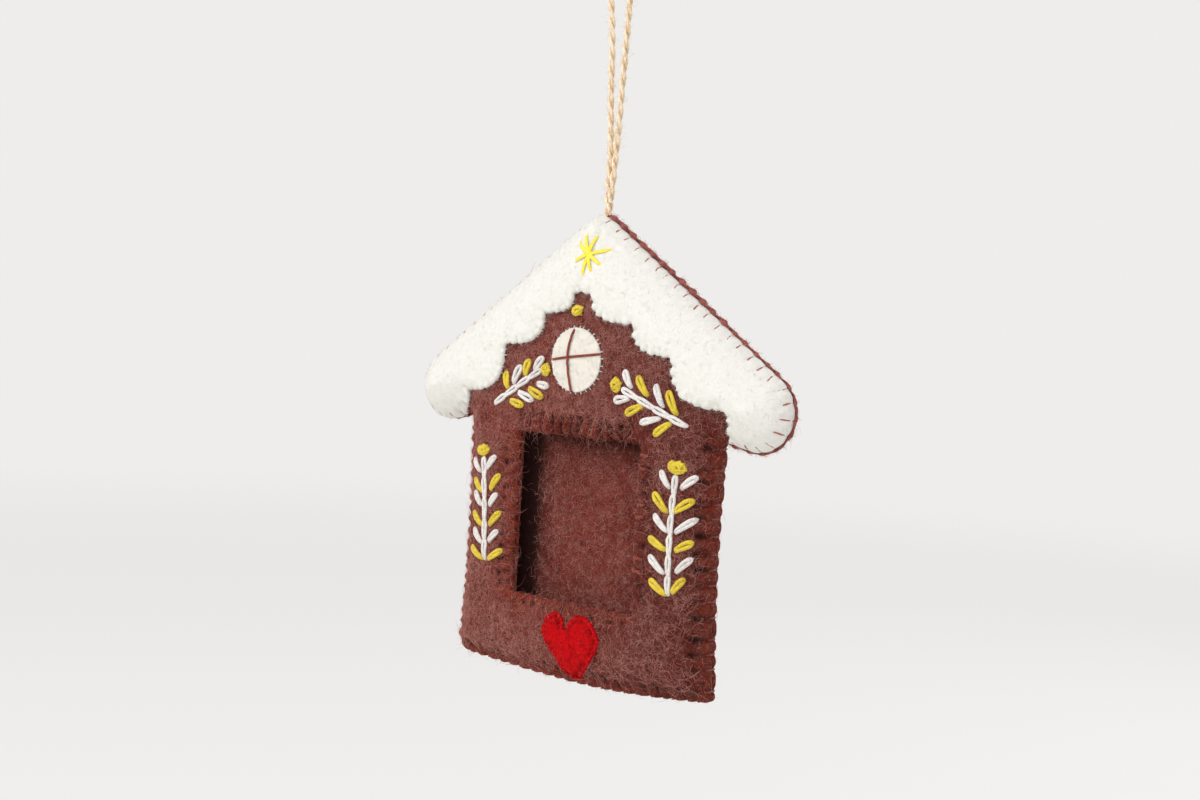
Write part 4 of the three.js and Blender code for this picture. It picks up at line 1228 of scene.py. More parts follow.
class HOUSE_OT_stage(bpy.types.Operator):
    """Sets the camera, the lamps, the world and the floor"""
    bl_idname = "felt_house.stage"
    bl_label = "Stage"

    def execute(self, context):
        scene = context.scene
        yaw, pitch, roll = CAMERA_YAW, CAMERA_PITCH, CAMERA_ROLL
        ahead = Vector((-math.sin(yaw) * math.cos(pitch), math.cos(yaw) * math.cos(pitch), -math.sin(pitch)))
        right = Vector((math.cos(yaw), math.sin(yaw), 0))
        above = right.cross(ahead)
        across = right * math.cos(roll) + above * math.sin(roll)
        up = above * math.cos(roll) - right * math.sin(roll)
        data = bpy.data.cameras.new("camera")
        data.lens, data.sensor_width = CAMERA_LENS, CAMERA_SENSOR
        data.clip_start = 0.01
        camera = bpy.data.objects.new("camera", data)
        turned = Matrix((across, up, -ahead)).transposed().to_4x4()
        camera.matrix_world = Matrix.Translation(CAMERA_PLACE) @ turned
        scene.collection.objects.link(camera)
        scene.camera = camera
        scene.view_settings.view_transform = "Standard"

        target = Vector(LAMP_TARGET)
        for name, (place, width, power) in LAMPS.items():
            lamp = bpy.data.lights.new(name, "AREA")
            lamp.shape, lamp.size, lamp.energy = "DISK", width, power
            holder = bpy.data.objects.new(name, lamp)
            holder.location = place
            holder.rotation_euler = (target - Vector(place)).to_track_quat("-Z", "Y").to_euler()
            scene.collection.objects.link(holder)

        world = bpy.data.worlds.new("pale room")
        world.use_nodes = True
        tree = world.node_tree
        tree.nodes.clear()
        tint = (*plain(scene.house_colours.pale), 1)
        light = node(tree, "ShaderNodeBackground", None, {"Color": (1, 1, 1, 1), "Strength": WORLD_LIGHT})
        shown = node(tree, "ShaderNodeBackground", None, {"Color": tint, "Strength": 1.0})
        both = node(tree, "ShaderNodeMixShader", None, {0: seen_straight(tree), 1: light, 2: shown})
        node(tree, "ShaderNodeOutputWorld", None, {"Surface": both})
        scene.world = world

        angles = np.linspace(0, 2 * np.pi, 96, endpoint=False)
        rim = np.column_stack((np.cos(angles), np.sin(angles), 0 * angles)) * FLOOR_WIDE
        data = bpy.data.meshes.new("floor")
        data.from_pydata(rim.tolist(), [], [list(range(len(rim)))])
        floor = bpy.data.objects.new("floor", data)
        floor.location.z = cad_box[0][2] - FLOOR_BELOW
        data.materials.append(Finish("pale floor", "", backdrop_shader).made())
        scene.collection.objects.link(floor)
        return {"FINISHED"}


# The twine's route in millimetres, from the right strand above the peak over the loop's top
# and back down, and where its two strands enter the peak
TWINE_ROUTE = (
    (1.55, 0.5, -62), (2.1, 0.5, -54), (2.35, 0.6, -48), (2.7, 0.5, -41), (3.1, 0.4, -34), (3.5, 0.3, -26),
    (3.9, 0.2, -19), (4.3, 0.1, -12.5), (4.5, 0, -7.5), (4.46, 0, -4.6), (4.2, 0, -2.0), (3.18, 0, -0.42),
    (1.6, 0, 0.6), (0, 0, 0.9), (-1.6, 0, 0.6), (-3.18, 0, -0.42), (-4.2, 0, -2.0), (-4.3, 0.1, -4.6),
    (-3.9, 0.2, -8.5), (-2.9, 0.5, -14), (-2.2, 0.9, -21), (-1.7, 1.0, -29), (-1.35, 0.9, -37),
    (-0.9, 0.9, -44), (-0.5, 0.9, -50), (-0.3, 1.0, -55), (-0.4, 1.15, -62))
TWINE_ENTRY = (0.3, 0.85)
ENTRY_SPREAD = (0.72, -0.38)
ENTRY_RISE = 1.0 * MM
TWINE_STEP = 0.35 * MM
# The knot at the root, in thicknesses of the twine from its middle
ROOT_KNOT = ((-0.6, 0.3, 0.5), (0.3, 0.5, 0.6), (0.9, 0, 0), (0.2, -0.5, -0.6), (-0.8, -0.2, -0.3),
             (-0.7, 0.4, 0.4), (0.1, 0.5, 0.1), (0.6, 0.1, -0.5))


class HOUSE_OT_twine(bpy.types.Operator):
    """Lays the doubled jute twine, from its root in the peak round the loop"""
    bl_idname = "felt_house.twine"
    bl_label = "Twine"

    def execute(self, context):
        t = context.scene.house_twine
        peak = pattern_of(context).peak
        join = SWING.z + ENTRY_RISE
        drop = t.root_drop
        middle, spread = np.array(TWINE_ENTRY) * MM, np.array(ENTRY_SPREAD) * MM

        def root(side):
            x, y = middle + side * spread
            return [(x, y, join), (x, y, peak + 0.2 * MM), (x - 0.3 * side * MM, 0.5 * y, peak - drop / 3),
                    (x - 0.3 * side * MM, -t.thick, peak - drop)]
        ends = [(*(middle + side * spread), join) for side in (1, -1)]
        path = smooth(np.vstack((ends[:1], np.array(TWINE_ROUTE) * MM, ends[1:])), TWINE_STEP)
        run = measured(path)[-1]
        rope = dict(lobes=2, groove=0.95, turn=t.lay, sides=20)
        phase = 0.6

        twine = Yarn(1).lay(path, t.thick, phase=phase, cut=1, **rope)
        twine = twine.piece("jute_twine", "jute", None)
        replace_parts(twine, "twine_loop", "twine_neck_left", "twine_neck_right")
        hairs = fuzz("jute_hairs", twine, t.hairs, "jute", 61, long=(1.0, 3.4), lift=0.6,
                     stand=0.35, thick=0.07 * MM, body=None)
        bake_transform(twine)
        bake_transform(hairs)

        yarn = Yarn(2)
        for side, begin in ((1, phase), (-1, phase + 2 * math.pi * run / t.lay)):
            strand = smooth(root(side), TWINE_STEP)
            yarn.lay(strand, t.thick, phase=begin, cut=1, **rope)
        knot = [(x * t.thick, y * t.thick - 1.3 * t.thick, z * t.thick + peak - drop)
                for x, y, z in ROOT_KNOT]
        yarn.lay(smooth(knot, TWINE_STEP), t.thick, **rope)
        inner = yarn.piece("jute_root", "jute", None)
        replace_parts(inner, "twine_root")
        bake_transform(inner)
        return {"FINISHED"}


# Where the hidden lining and the wadding end below the peak, and how far in the wadding starts
LINING_TOP = -17 * MM
WADDING_TOP = -29 * MM
WADDING_INSET = 9.6 * MM
WADDING_LIP = 5 * MM
# The level below which fibres stand out round the edge, and how far in the sewn rim reaches
EAVE_LEVEL = -46 * MM
SEWN_RIM = 1.2 * MM


def rust_and_painted_light_rim(p, x, z):
    """How much rust colour shows at the sewn rim: rust thread, and painted light on the shaded rim."""
    return 1.3 * np.exp(-np.maximum(p.depth(x, z), 0) / (1.5 * MM))


class HOUSE_OT_brown_felt(bpy.types.Operator):
    """Cuts and pads the brown felt: the front, its lining, the wadding and the back"""
    bl_idname = "felt_house.brown_felt"
    bl_label = "Brown felt"

    def execute(self, context):
        p = pattern_of(context)
        roofed = on_roof(p.house[:, 0], p.house[:, 1])[:, None]
        drawn = p.house - inward_of(p.house) * (1 - roofed) * 0.3 * MM
        for side, places in p.overcast.items():
            drawn = scalloped(drawn, places, EDGE_DRAW[side], 0.95 * MM)
        outer = drawn + inward_of(p.house) * roofed * 0.85 * MM
        rear = drawn + inward_of(p.house) * roofed * 0.25 * MM
        rear = scalloped(rear, all_places(p.blanket), 0.25 * MM, 0.8 * MM)
        opening = scalloped(p.opening, all_places(p.rim), 0.65 * MM, 0.85 * MM)

        front = self.front(p, outer, opening)
        self.lining(p, outer, opening)
        back = self.back(p, rear)
        self.wadding(p)
        self.fibres(p, front, back, context.scene.house_fuzz)
        return {"FINISHED"}

    def front(self, p, outer, opening):
        front = new_piece("front_felt", *felt_sheet(
            p, outer, [opening], p.front, p.front_back, 0.5 * MM, p.felt.spacing, 1, 2.0 * MM),
            "brown")
        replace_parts(front, "front_panel")
        # The sewn mark: painted shade in the stitch grooves and dimples, fading out at the rim, and the
        # front darker towards the right
        marked(p, front, "sewn", Field(lambda x, z: p.sewn(x, z) * share_of(p.depth(x, z) / (1.0 * MM))
                                       + 0.4 * share_of((x + 6 * MM) / (34 * MM))))
        # Rust at the opening's lip and the rim: rust thread, and painted light on the shaded lip and rim
        marked(p, front, "rusty", Field(lambda x, z: np.maximum(
            0.8 * np.exp(-np.maximum(p.beside(x, z) - 0.5 * MM, 0) / (1.8 * MM)), rust_and_painted_light_rim(p, x, z))))
        return front

    def lining(self, p, outer, opening):
        below = outer[outer[:, 1] < LINING_TOP]
        start = int(np.argmax(below[:, 0] * (below[:, 1] > LINING_TOP - 2 * MM)))
        line = even(np.roll(below, -start, 0), 0.6 * MM, closed=True)
        lining = new_piece("lining_felt", *felt_sheet(
            p, line, [opening], p.lining_face, p.lining_back, 0.35 * MM, 1.3 * MM, 2), "brown")
        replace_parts(lining, "frame_lining")

    def back(self, p, rear):
        s = p.shape
        back = new_piece("back_felt", *felt_sheet(
            p, rear, [], p.back_front, p.back_face, 0.5 * MM, p.felt.spacing, 3), "brown_back")
        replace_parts(back, "back_panel")

        def pocket_shade(x, z):
            left = share_of(1.7 * np.exp(-np.maximum(x + s.opening_left, 0) / (3.6 * MM)))
            top = np.exp(-np.maximum(-s.opening_top - z, 0) / (2.5 * MM))
            right = 0.5 * np.exp(-np.maximum(s.opening_right - x, 0) / (1.4 * MM))
            shade = np.maximum(np.maximum(left, top), right)
            return shade * share_of((p.depth(x, z) - 3 * MM) / (3 * MM))
        # The pocket's painted shade goes into the sewn mark, on the felt's front face only
        marked(p, back, "sewn", Field(pocket_shade), front_only=True)
        marked(p, back, "rusty", Field(lambda x, z: rust_and_painted_light_rim(p, x, z)))
        return back

    def wadding(self, p):
        low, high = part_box("padding")
        ring = p.house + inward_of(p.house) * WADDING_INSET
        ring = even(ring[ring[:, 1] < WADDING_TOP], 1.5 * MM, closed=True)
        hole = even(p.opening - inward_of(p.opening) * WADDING_LIP, 1.2 * MM, closed=True)
        face = Field(lambda x, z: (np.maximum(p.front_back(x, z) + 0.3 * MM, low.y)
                                   + 0.2 * MM * lumps(x, z, 71)))
        rear = Field(lambda x, z: np.minimum(p.lining_face(x, z) - 0.3 * MM, high.y))
        wadding = new_piece("wadding_ring", *felt_sheet(
            p, ring, [hole], face, rear, 0.3 * MM, 2.4 * MM, 4), "wadding")
        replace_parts(wadding, "padding")

    def fibres(self, p, front, back, numbers):
        s = p.shape

        def facing(at, normals):
            x, z = at[:, 0], at[:, 2] - p.peak
            shares = np.where((p.depth(x, z) < 4 * MM) | (p.beside(x, z) < 4.5 * MM), 0.3, 1.0)
            shares = shares * (0.35 + share_of(0.6 + lattice(x, z, 4.5 * MM, 77) - x / (120 * MM)))
            return np.where((normals[:, 1] < -0.3) & (p.depth(x, z) > SEWN_RIM), shares, 0.02)
        fuzz("front_fibres", front, numbers.front, "brown_fibre", 62, long=(1.6, 5.2), lift=0.4,
             choose=facing)

        def outside(at, normals):
            near = p.depth(at[:, 0], at[:, 2] - p.peak) < SEWN_RIM
            return np.where(near & (at[:, 2] - p.peak < EAVE_LEVEL), 1.0, 0.0)
        fuzz("rim_fibres", front, numbers.rim, "brown_fibre", 63, long=(0.3, 1.2), lift=0.4,
             stand=0.5, choose=outside)

        def shown(at, normals):
            x, z = at[:, 0], at[:, 2] - p.peak
            edge = np.minimum(x + s.opening_left, -s.opening_top - z)
            pocket = np.where(p.beside(x, z) < 0, share_of(edge / (4 * MM)) * 2, 0)
            return np.where(normals[:, 1] > 0, 1.0, pocket)
        fuzz("back_fibres", back, numbers.back, "brown_fibre", 64, choose=shown)


# Loose fibres along the snow's lower edge
HEM_FIBRES = 1100


def snow_edge(notches):
    """The lobes between notches: each leaves one straight down and reaches the next one level."""
    points = []
    for n, (a, b) in enumerate(zip(np.array(notches) * MM, np.array(notches[1:]) * MM), 2):
        turn = np.radians(np.arange(0, 90, 6))
        full = SNOW_FULLNESS if n < len(notches) else 1.25
        points.append(np.column_stack((a[0] + (b[0] - a[0]) * (1 - np.cos(turn) ** full),
                                       a[1] + (b[1] - a[1]) * np.sin(turn) ** full)))
    return np.vstack((*points, np.array(notches[-1:]) * MM))


class HOUSE_OT_snow(bpy.types.Operator):
    """Cuts the white felt snow and sews its lower edge with white thread"""
    bl_idname = "felt_house.snow"
    bl_label = "Snow"

    def execute(self, context):
        p = pattern_of(context)
        f, t = p.felt, p.thread
        top = p.roof_half(-0.1 * MM)[:-1]
        right, left = snow_edge(SNOW_RIGHT), snow_edge(SNOW_LEFT)
        whole = np.vstack((top, right[::-1], np.array([SNOW_PEAK]) * MM, left, mirrored(top)[:-1]))
        line = even(whole, 0.45 * MM, closed=True)
        lower = np.vstack((right[::-1], np.array([SNOW_PEAK]) * MM, left))
        whips = stitch_places(lower, t.whip_pitch, 1.2 * MM, 12, 0.22)
        line = scalloped(line, all_places(p.blanket), 0.12 * MM, 0.8 * MM)
        line = scalloped(line, whips, 0.5 * MM, 0.75 * MM)
        for point, inward in whips:
            p.snow_face.draw_in(point, inward, t.whip_reach, 0.6 * MM, 0.5 * MM, 0.5 * MM)
        snow = new_piece("snow_felt", *felt_sheet(
            p, line, [], p.snow_face, p.snow_back, 0.72 * MM, f.spacing, 5), "white")
        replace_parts(snow, "snow_roof")
        low, high = line.min(0), line.max(0)
        tuple(high - low)

        yarn = Yarn(5)
        for point, inward in whips:
            into, out = point + inward * t.whip_reach, point + inward * 0.4 * MM
            path = (p.at(p.snow_face, into, -0.35 * MM),
                    p.at(p.snow_face, point + inward * 1.1 * MM, 0.08 * MM),
                    p.at(p.snow_face, point + inward * 0.75 * MM, -0.25 * MM),
                    p.at(p.front, out, 0.5 * MM),
                    p.at(p.front, out - inward * 0.2 * MM, -0.3 * MM))
            yarn.lay(p.placed(smooth(path, 0.25 * MM)), 0.4 * MM, sides=6)
        yarn.piece("snow_stitches", "white_fibre")

        def facing(at, normals):
            return np.where(normals[:, 1] < 0.5, 1.0, 0.0)

        def hem(at, normals):
            inner = p.depth(at[:, 0], at[:, 2] - p.peak) > 2.5 * MM
            return np.where(inner & (np.abs(normals[:, 1]) < 0.75), 1.0, 0.0)

        fuzz("snow_hem_fibres", snow, HEM_FIBRES, "white_fibre", 69, long=(0.4, 1.5), lift=0.15,
             stand=0.3, thick=0.055 * MM, choose=hem)
        fuzz("snow_fibres", snow, context.scene.house_fuzz.snow, "white_fibre", 65, long=(0.5, 1.7),
             lift=0.12, thick=0.05 * MM, choose=facing)
        return {"FINISHED"}


# How many points of a closed line are passed before its end is looked for
SPLINE_SKIP = 40


def spline(points):
    """A closed smooth line through a few points."""
    points = np.array(points)
    path = smooth(np.vstack((points[-2:], points, points[:3])), 0.1 * MM)
    gaps = np.linalg.norm(path - points[0], axis=1)
    first = int(np.argmin(gaps[:len(path) // 2]))
    last = first + SPLINE_SKIP + int(np.argmin(gaps[first + SPLINE_SKIP:]))
    return even(path[first:last], 0.4 * MM, closed=True)


# How far from its ends the window's cross sinks into the felt
CROSS_SINK = 0.9 * MM


class HOUSE_OT_appliques(bpy.types.Operator):
    """Cuts the attic window with its thread cross, and the heart"""
    bl_idname = "felt_house.appliques"
    bl_label = "Window and heart"

    def patch(self, p, name, node_name, line, thick, finish, rounding, whip, seed, stitched, pull, over):
        if signed_area(line) > 0:
            line = line[::-1]
        uneven = np.random.RandomState(seed)
        whips = stitch_places(np.vstack((line, line[:1])), whip, 0.1 * MM, seed, 0.2)
        line = scalloped(line, whips, pull, 0.6 * MM)
        face = Field(lambda x, z: p.front(x, z) - p.felt.gap - thick + 0.15 * MM * lumps(x, z, seed))
        for point, inward in whips:
            face.draw_in(point, inward, 1.2 * MM, 1.3 * pull, 0.5 * MM, 1.4 * pull)
        back = Field(lambda x, z: p.front(x, z) - p.felt.gap)
        made = new_piece(name, *felt_sheet(p, line, [], face, back, rounding, 0.45 * MM, seed), finish)
        # Painted shade in the needle holes where the whip stitches enter
        needle_hole_shade = Field(lambda x, z: 0 * x)
        for point, inward in whips:
            needle_hole_shade.press(point + inward * uneven.uniform(1.0, 1.7) * MM, 0.55 * MM, uneven.uniform(0.3, 1))
        marked(p, made, "sewn", needle_hole_shade, front_only=True)
        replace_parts(made, node_name)
        yarn = Yarn(seed)
        for point, inward in whips:
            into, out = point + inward * 1.1 * MM, point - inward * over
            path = smooth((p.at(face, into, -0.25 * MM), p.at(face, point + inward * 0.8 * MM, 0.07 * MM),
                           p.at(face, point + inward * 0.65 * MM, -0.15 * MM), p.at(p.front, out, 0.15 * MM),
                           p.at(p.front, out - inward * 0.1 * MM, -0.25 * MM)), 0.25 * MM)
            yarn.lay(p.placed(path), 0.32 * MM, sides=6)
        yarn.piece(name + "_stitches", stitched)
        return made, face

    def execute(self, context):
        p = pattern_of(context)
        numbers = context.scene.house_fuzz
        thick = p.felt.window_thick
        top = Field(lambda x, z: p.front(x, z) - thick)
        middle = p.seen(WINDOW_MIDDLE, top)
        disc = even(arc(*middle, WINDOW_RADIUS * MM, 360, 0, 90)[:-1], 0.4 * MM, True)
        window, face = self.patch(p, "window_felt", "attic_window", disc, thick, "cream",
                                  0.4 * MM, 1.7 * MM, 13, "white_fibre", 0.2 * MM, 0.3 * MM)
        yarn = Yarn(6)
        for points in (CROSS_LEVEL, CROSS_UPRIGHT):
            line = smooth([p.seen(point, top) for point in points], 0.3 * MM)
            over = 0.62 if points is CROSS_UPRIGHT else 0.3
            run, high = measured(line), over * p.thread.sewing
            turns = (0, CROSS_SINK, run[-1] - CROSS_SINK, run[-1])
            lift = np.interp(run, turns, (-0.4 * MM, high, high, -0.4 * MM))
            path = np.array([p.at(face, spot, up) for spot, up in zip(line, lift)])
            for shift in (-0.15, 0.15):
                way = unit(np.gradient(line, axis=0), 0)
                part = path + np.column_stack((way[:, 1], 0 * lift, -way[:, 0])) * shift * MM
                yarn.lay(p.placed(part), 0.4 * MM, sides=8)
        cross = yarn.piece("window_cross_threads", "cross")
        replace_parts(cross, "window_cross")

        top = Field(lambda x, z: p.front(x, z) - p.felt.heart_thick)
        heart_line = spline([p.seen(point, top) for point in HEART])
        heart, _ = self.patch(p, "heart_felt", "heart", heart_line, p.felt.heart_thick, "red",
                              0.55 * MM, 1.45 * MM, 14, "red_fibre", 0.3 * MM, -0.3 * MM)

        def facing(at, normals):
            return np.where(normals[:, 1] < -0.75, 1.0, 0.0)

        fuzz("window_fibres", window, numbers.window, "white_fibre", 66, long=(0.6, 1.8), lift=0.25,
             choose=facing)
        fuzz("heart_fibres", heart, numbers.heart, "red_fibre", 67, long=(0.4, 1.3), lift=0.25,
             choose=facing, thick=0.07 * MM)
        return {"FINISHED"}


def near_stitches(line, places, width):
    """1 where a line passes a stitch, fading to 0 beside it."""
    spots = np.array([point for point, _ in places])
    gap = np.sqrt(((line[:, None] - spots) ** 2).sum(2).min(1))
    return np.exp(-(gap / width) ** 2)


# How stout the roof's purl cord is, against its thread, at distances from the middle
CORD_AT = (0, 6, 30, 46, 62)
CORD_STOUT = (1.4, 2.8, 2.6, 1.8, 1.25)
# Loose fibres on each side's cord
CORD_FIBRES = {"right": 1500, "left": 300}


class HOUSE_OT_edge_threads(bpy.types.Operator):
    """Sews the edges: blanket stitch round the roof, overcast walls, rust thread round the opening"""
    bl_idname = "felt_house.edge_threads"
    bl_label = "Edge threads"

    def blanket(self, p, side, line, places):
        """A purl cord along the rim, stout near the peak, with a knot and legs at each stitch."""
        t = p.thread
        yarn = Yarn(20 + len(side))
        rim = even(line, 0.3 * MM)[3:-2]
        outward = -inward_of(rim, closed=False)
        knot = near_stitches(rim, places, 1.0 * MM)
        stout = np.interp(np.abs(rim[:, 0]) / MM, CORD_AT, CORD_STOUT)
        stout = stout * (0.6 if side == "left" else 1) * np.where(rim[:, 1] < -p.shape.eave_drop, 1.15, 1)
        rear = 0.65 if side == "left" else -0.35
        weave = np.sin(2 * np.pi * measured(rim) / t.blanket_pitch)
        out = (-0.1 + 0.2 * stout * (side == "right") + 0.16 * knot) * MM
        path = np.column_stack((rim[:, 0] + outward[:, 0] * out, (rear + 0.22 * weave) * MM,
                                rim[:, 1] + outward[:, 1] * out))
        swell = stout * (0.62 + 0.6 * knot + 0.26 * lattice(rim[:, 0], rim[:, 1], 2.2 * MM, 90))
        yarn.lay(p.placed(path), t.sewing, lobes=2, groove=1.0, turn=2 * t.blanket_pitch, swell=swell,
                 sides=16)
        shown = Yarn(24)
        for point, inward in places:
            round_end = abs(point[0]) > 54 * MM
            reach = (t.blanket_reach + round_end * 0.6 * MM) * yarn.random.uniform(0.7, 1.3)
            high = yarn.random.uniform(-0.3, 0.1 if side == "left" else 0.16) * MM
            lean = (0 if round_end else 0.15) + yarn.random.uniform(-0.3, 0.3)
            across = np.array((-inward[1], inward[0])) * lean * (1 if side == "right" else -1)
            entry = point + (inward + across) * reach
            near = point + (inward + 0.4 * across) * 0.75 * MM
            start = p.beyond(point - inward * 0.2 * MM, 0.2 * MM)
            for face, sign, leg in ((p.snow_face, 1, shown), (p.back_face, -1, yarn)):
                legs = (start, p.at(face, point + inward * 0.5 * MM, sign * -0.3 * MM),
                        p.at(face, near, sign * (high - 0.08 * MM)),
                        p.at(face, 0.5 * near + 0.5 * entry, sign * high),
                        p.at(face, entry, sign * -0.4 * MM))
                leg.lay(p.placed(smooth(legs, 0.25 * MM)), 0.85 * t.sewing, lobes=2, groove=0.4, sides=8)
        shown.piece("blanket_legs_" + side, "tick" if side == "right" else "tick_pale")
        made = yarn.piece("blanket_stitch_" + side, "thread")
        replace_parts(made, "roof_thread_" + side)
        fuzz("blanket_fibres_" + side, made, CORD_FIBRES[side], "brown_fibre", 68,
             long=(0.5, 1.9), lift=0.25, stand=0.25, thick=0.065 * MM)

    def overcast(self, p, name, node_name, places):
        """A stitch over the edge at each place, from the front's dimple to the back's."""
        t = p.thread
        yarn = Yarn(30 + len(name))
        for point, inward in places:
            reach = t.overcast_reach * yarn.random.uniform(0.75, 1.2)
            across = np.array((inward[1], -inward[0])) * yarn.random.uniform(-0.25, 0.25)
            edge = point + inward * (EDGE_DRAW[name.split("_")[-1]] - 0.15 * MM)
            path = (p.at(p.front, point + (inward + across) * reach, -0.4 * MM),
                    p.at(p.front, point + (inward + across) * 0.85 * reach, -0.5 * MM),
                    p.at(p.front, point + inward * 0.5 * reach, -0.5 * MM),
                    p.at(p.front, edge, -0.3 * MM),
                    p.beyond(edge - inward * 0.3 * MM, -0.9 * MM),
                    p.beyond(edge - inward * 0.3 * MM, 0.9 * MM),
                    p.at(p.back_face, edge + inward * 0.3 * MM, -0.1 * MM),
                    p.at(p.back_face, point + (inward - across) * 0.7 * reach, -0.1 * MM),
                    p.at(p.back_face, point + (inward - across) * reach, 0.4 * MM))
            yarn.lay(p.placed(smooth(path, 0.3 * MM)), t.sewing, lobes=2, groove=0.5, sides=8,
                     up=(inward[0], 0, inward[1]))
        made = yarn.piece(name, "overcast")
        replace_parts(made, node_name)

    def opening(self, p, side, line, places):
        """Rust stitches over the opening's lip, and the purl line along its rear edge."""
        t = p.thread
        reach = p.rim_reach[side]
        bold = side == "right"
        yarn = Yarn(40 + len(side))
        edge = even(line, 0.4 * MM)
        rear = p.lining_back(edge[:, 0], edge[:, 1])
        knot = near_stitches(edge, places, 0.7 * MM)
        path = np.column_stack((edge[:, 0], rear - 0.35 * MM, edge[:, 1]))
        yarn.lay(p.placed(path), t.sewing, lobes=2, groove=0.5, turn=2.6 * MM, swell=0.9 + 0.35 * knot,
                 sides=8)
        for point, inward in places:
            far = reach * yarn.random.uniform(0.85, 1.12)
            shown = yarn.random.uniform() < (0.65 if bold else 0.12)
            high, stout = (yarn.random.uniform(0.05, 0.2), 1.9 if bold else 1.4) if shown else (-0.15, 0.75)
            across = np.array((inward[1], -inward[0])) * yarn.random.uniform(-0.15, 0.15)
            back = float(p.lining_back(point[0], point[1]))
            path = (p.at(p.front, point + (inward + across) * far, -0.4 * MM),
                    p.at(p.front, point + (inward + across) * 0.85 * far, high * MM),
                    p.at(p.front, point + (inward + 0.5 * across) * 0.5 * far, high * MM),
                    p.at(p.front, point + inward * 1.0 * MM, 0.3 * MM),
                    p.beyond(point - inward * 0.3 * MM, float(p.front(*point)) + 1.3 * MM),
                    p.beyond(point, back - 0.2 * MM))
            yarn.lay(p.placed(smooth(path, 0.3 * MM)), stout * t.sewing, lobes=2, groove=0.4, sides=8,
                     up=(inward[0], -0.1, inward[1]))
        made = yarn.piece("rust_stitch_" + side, "rust")
        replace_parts(made, "opening_thread_" + side)

    def execute(self, context):
        p = pattern_of(context)
        for side, line in (("right", p.roof_right), ("left", p.roof_left)):
            self.blanket(p, side, line, p.blanket[side])
        for side, node_name in (("right", "wall_thread_right"), ("left", "wall_thread_left"),
                                ("bottom", "bottom_thread")):
            self.overcast(p, "overcast_" + side, node_name, p.overcast[side])
        for side, line in p.opening_sides.items():
            self.opening(p, side, line, p.rim[side])
        return {"FINISHED"}


# Embroidery: a loop's outline as shares of its length and half width
LOOP = ((0.0, 0.06), (0.2, 0.5), (0.52, 0.9), (0.8, 1.0), (0.97, 0.42), (0.97, -0.42), (0.8, -1.0),
        (0.52, -0.9), (0.2, -0.5), (0.0, -0.06))


def looped(p, yarn, base, tip, wide, thick, face):
    """A loop of floss between two places on a face."""
    way = tip - base
    across = np.array((way[1], -way[0])) / np.linalg.norm(way)
    half = max(0.5 * wide - 0.5 * thick, 0.4 * thick)
    high = 0.38 * thick
    lifts = (-0.35 * MM, 0.7 * high, high, high, 0.8 * high, 0.8 * high, high, high, 0.7 * high, -0.35 * MM)
    path = smooth([p.at(face, base + way * u + across * v * half, lift)
                   for (u, v), lift in zip(LOOP, lifts)], 0.28 * MM)
    yarn.lay(p.placed(path), thick, lobes=6, groove=0.32, turn=11 * MM, flat=0.8, sides=18)


def strand(p, yarn, places, lifts, thick, face):
    """A short strand through places on a face, lifted off it."""
    path = smooth([p.at(face, place, lift) for place, lift in zip(places, lifts)], 0.25 * MM)
    yarn.lay(p.placed(path), thick, lobes=5, groove=0.22, turn=8 * MM, flat=0.85, sides=12)


def lazy_daisy(p, yarn, base, tip, wide, thick, face):
    """One looped leaf, sewn down at its tip."""
    base, tip = p.seen(base, face), p.seen(tip, face)
    looped(p, yarn, base, tip, wide * MM, thick, face)
    way = (tip - base) / np.linalg.norm(tip - base)
    strand(p, yarn, [tip - way * 0.8 * thick, tip - way * 0.3 * thick, tip + way * 0.15 * thick],
           (0.1 * MM, 0.85 * thick, -0.2 * MM), 0.55 * thick, face)


def chain(p, yarn, stem, thick, face):
    """A stem of chain stitches, each loop held by the next."""
    line = smooth([p.seen(point, face) for point in stem], 0.5 * MM)
    total = measured(line)[-1]
    links = round(total / (5.3 * MM))
    for n in range(links):
        span = np.clip((n - 0.14, n + 1.02), 0, links) * total / links
        base, tip = along(line, span)
        looped(p, yarn, base, tip, 2.0 * MM, thick, face)


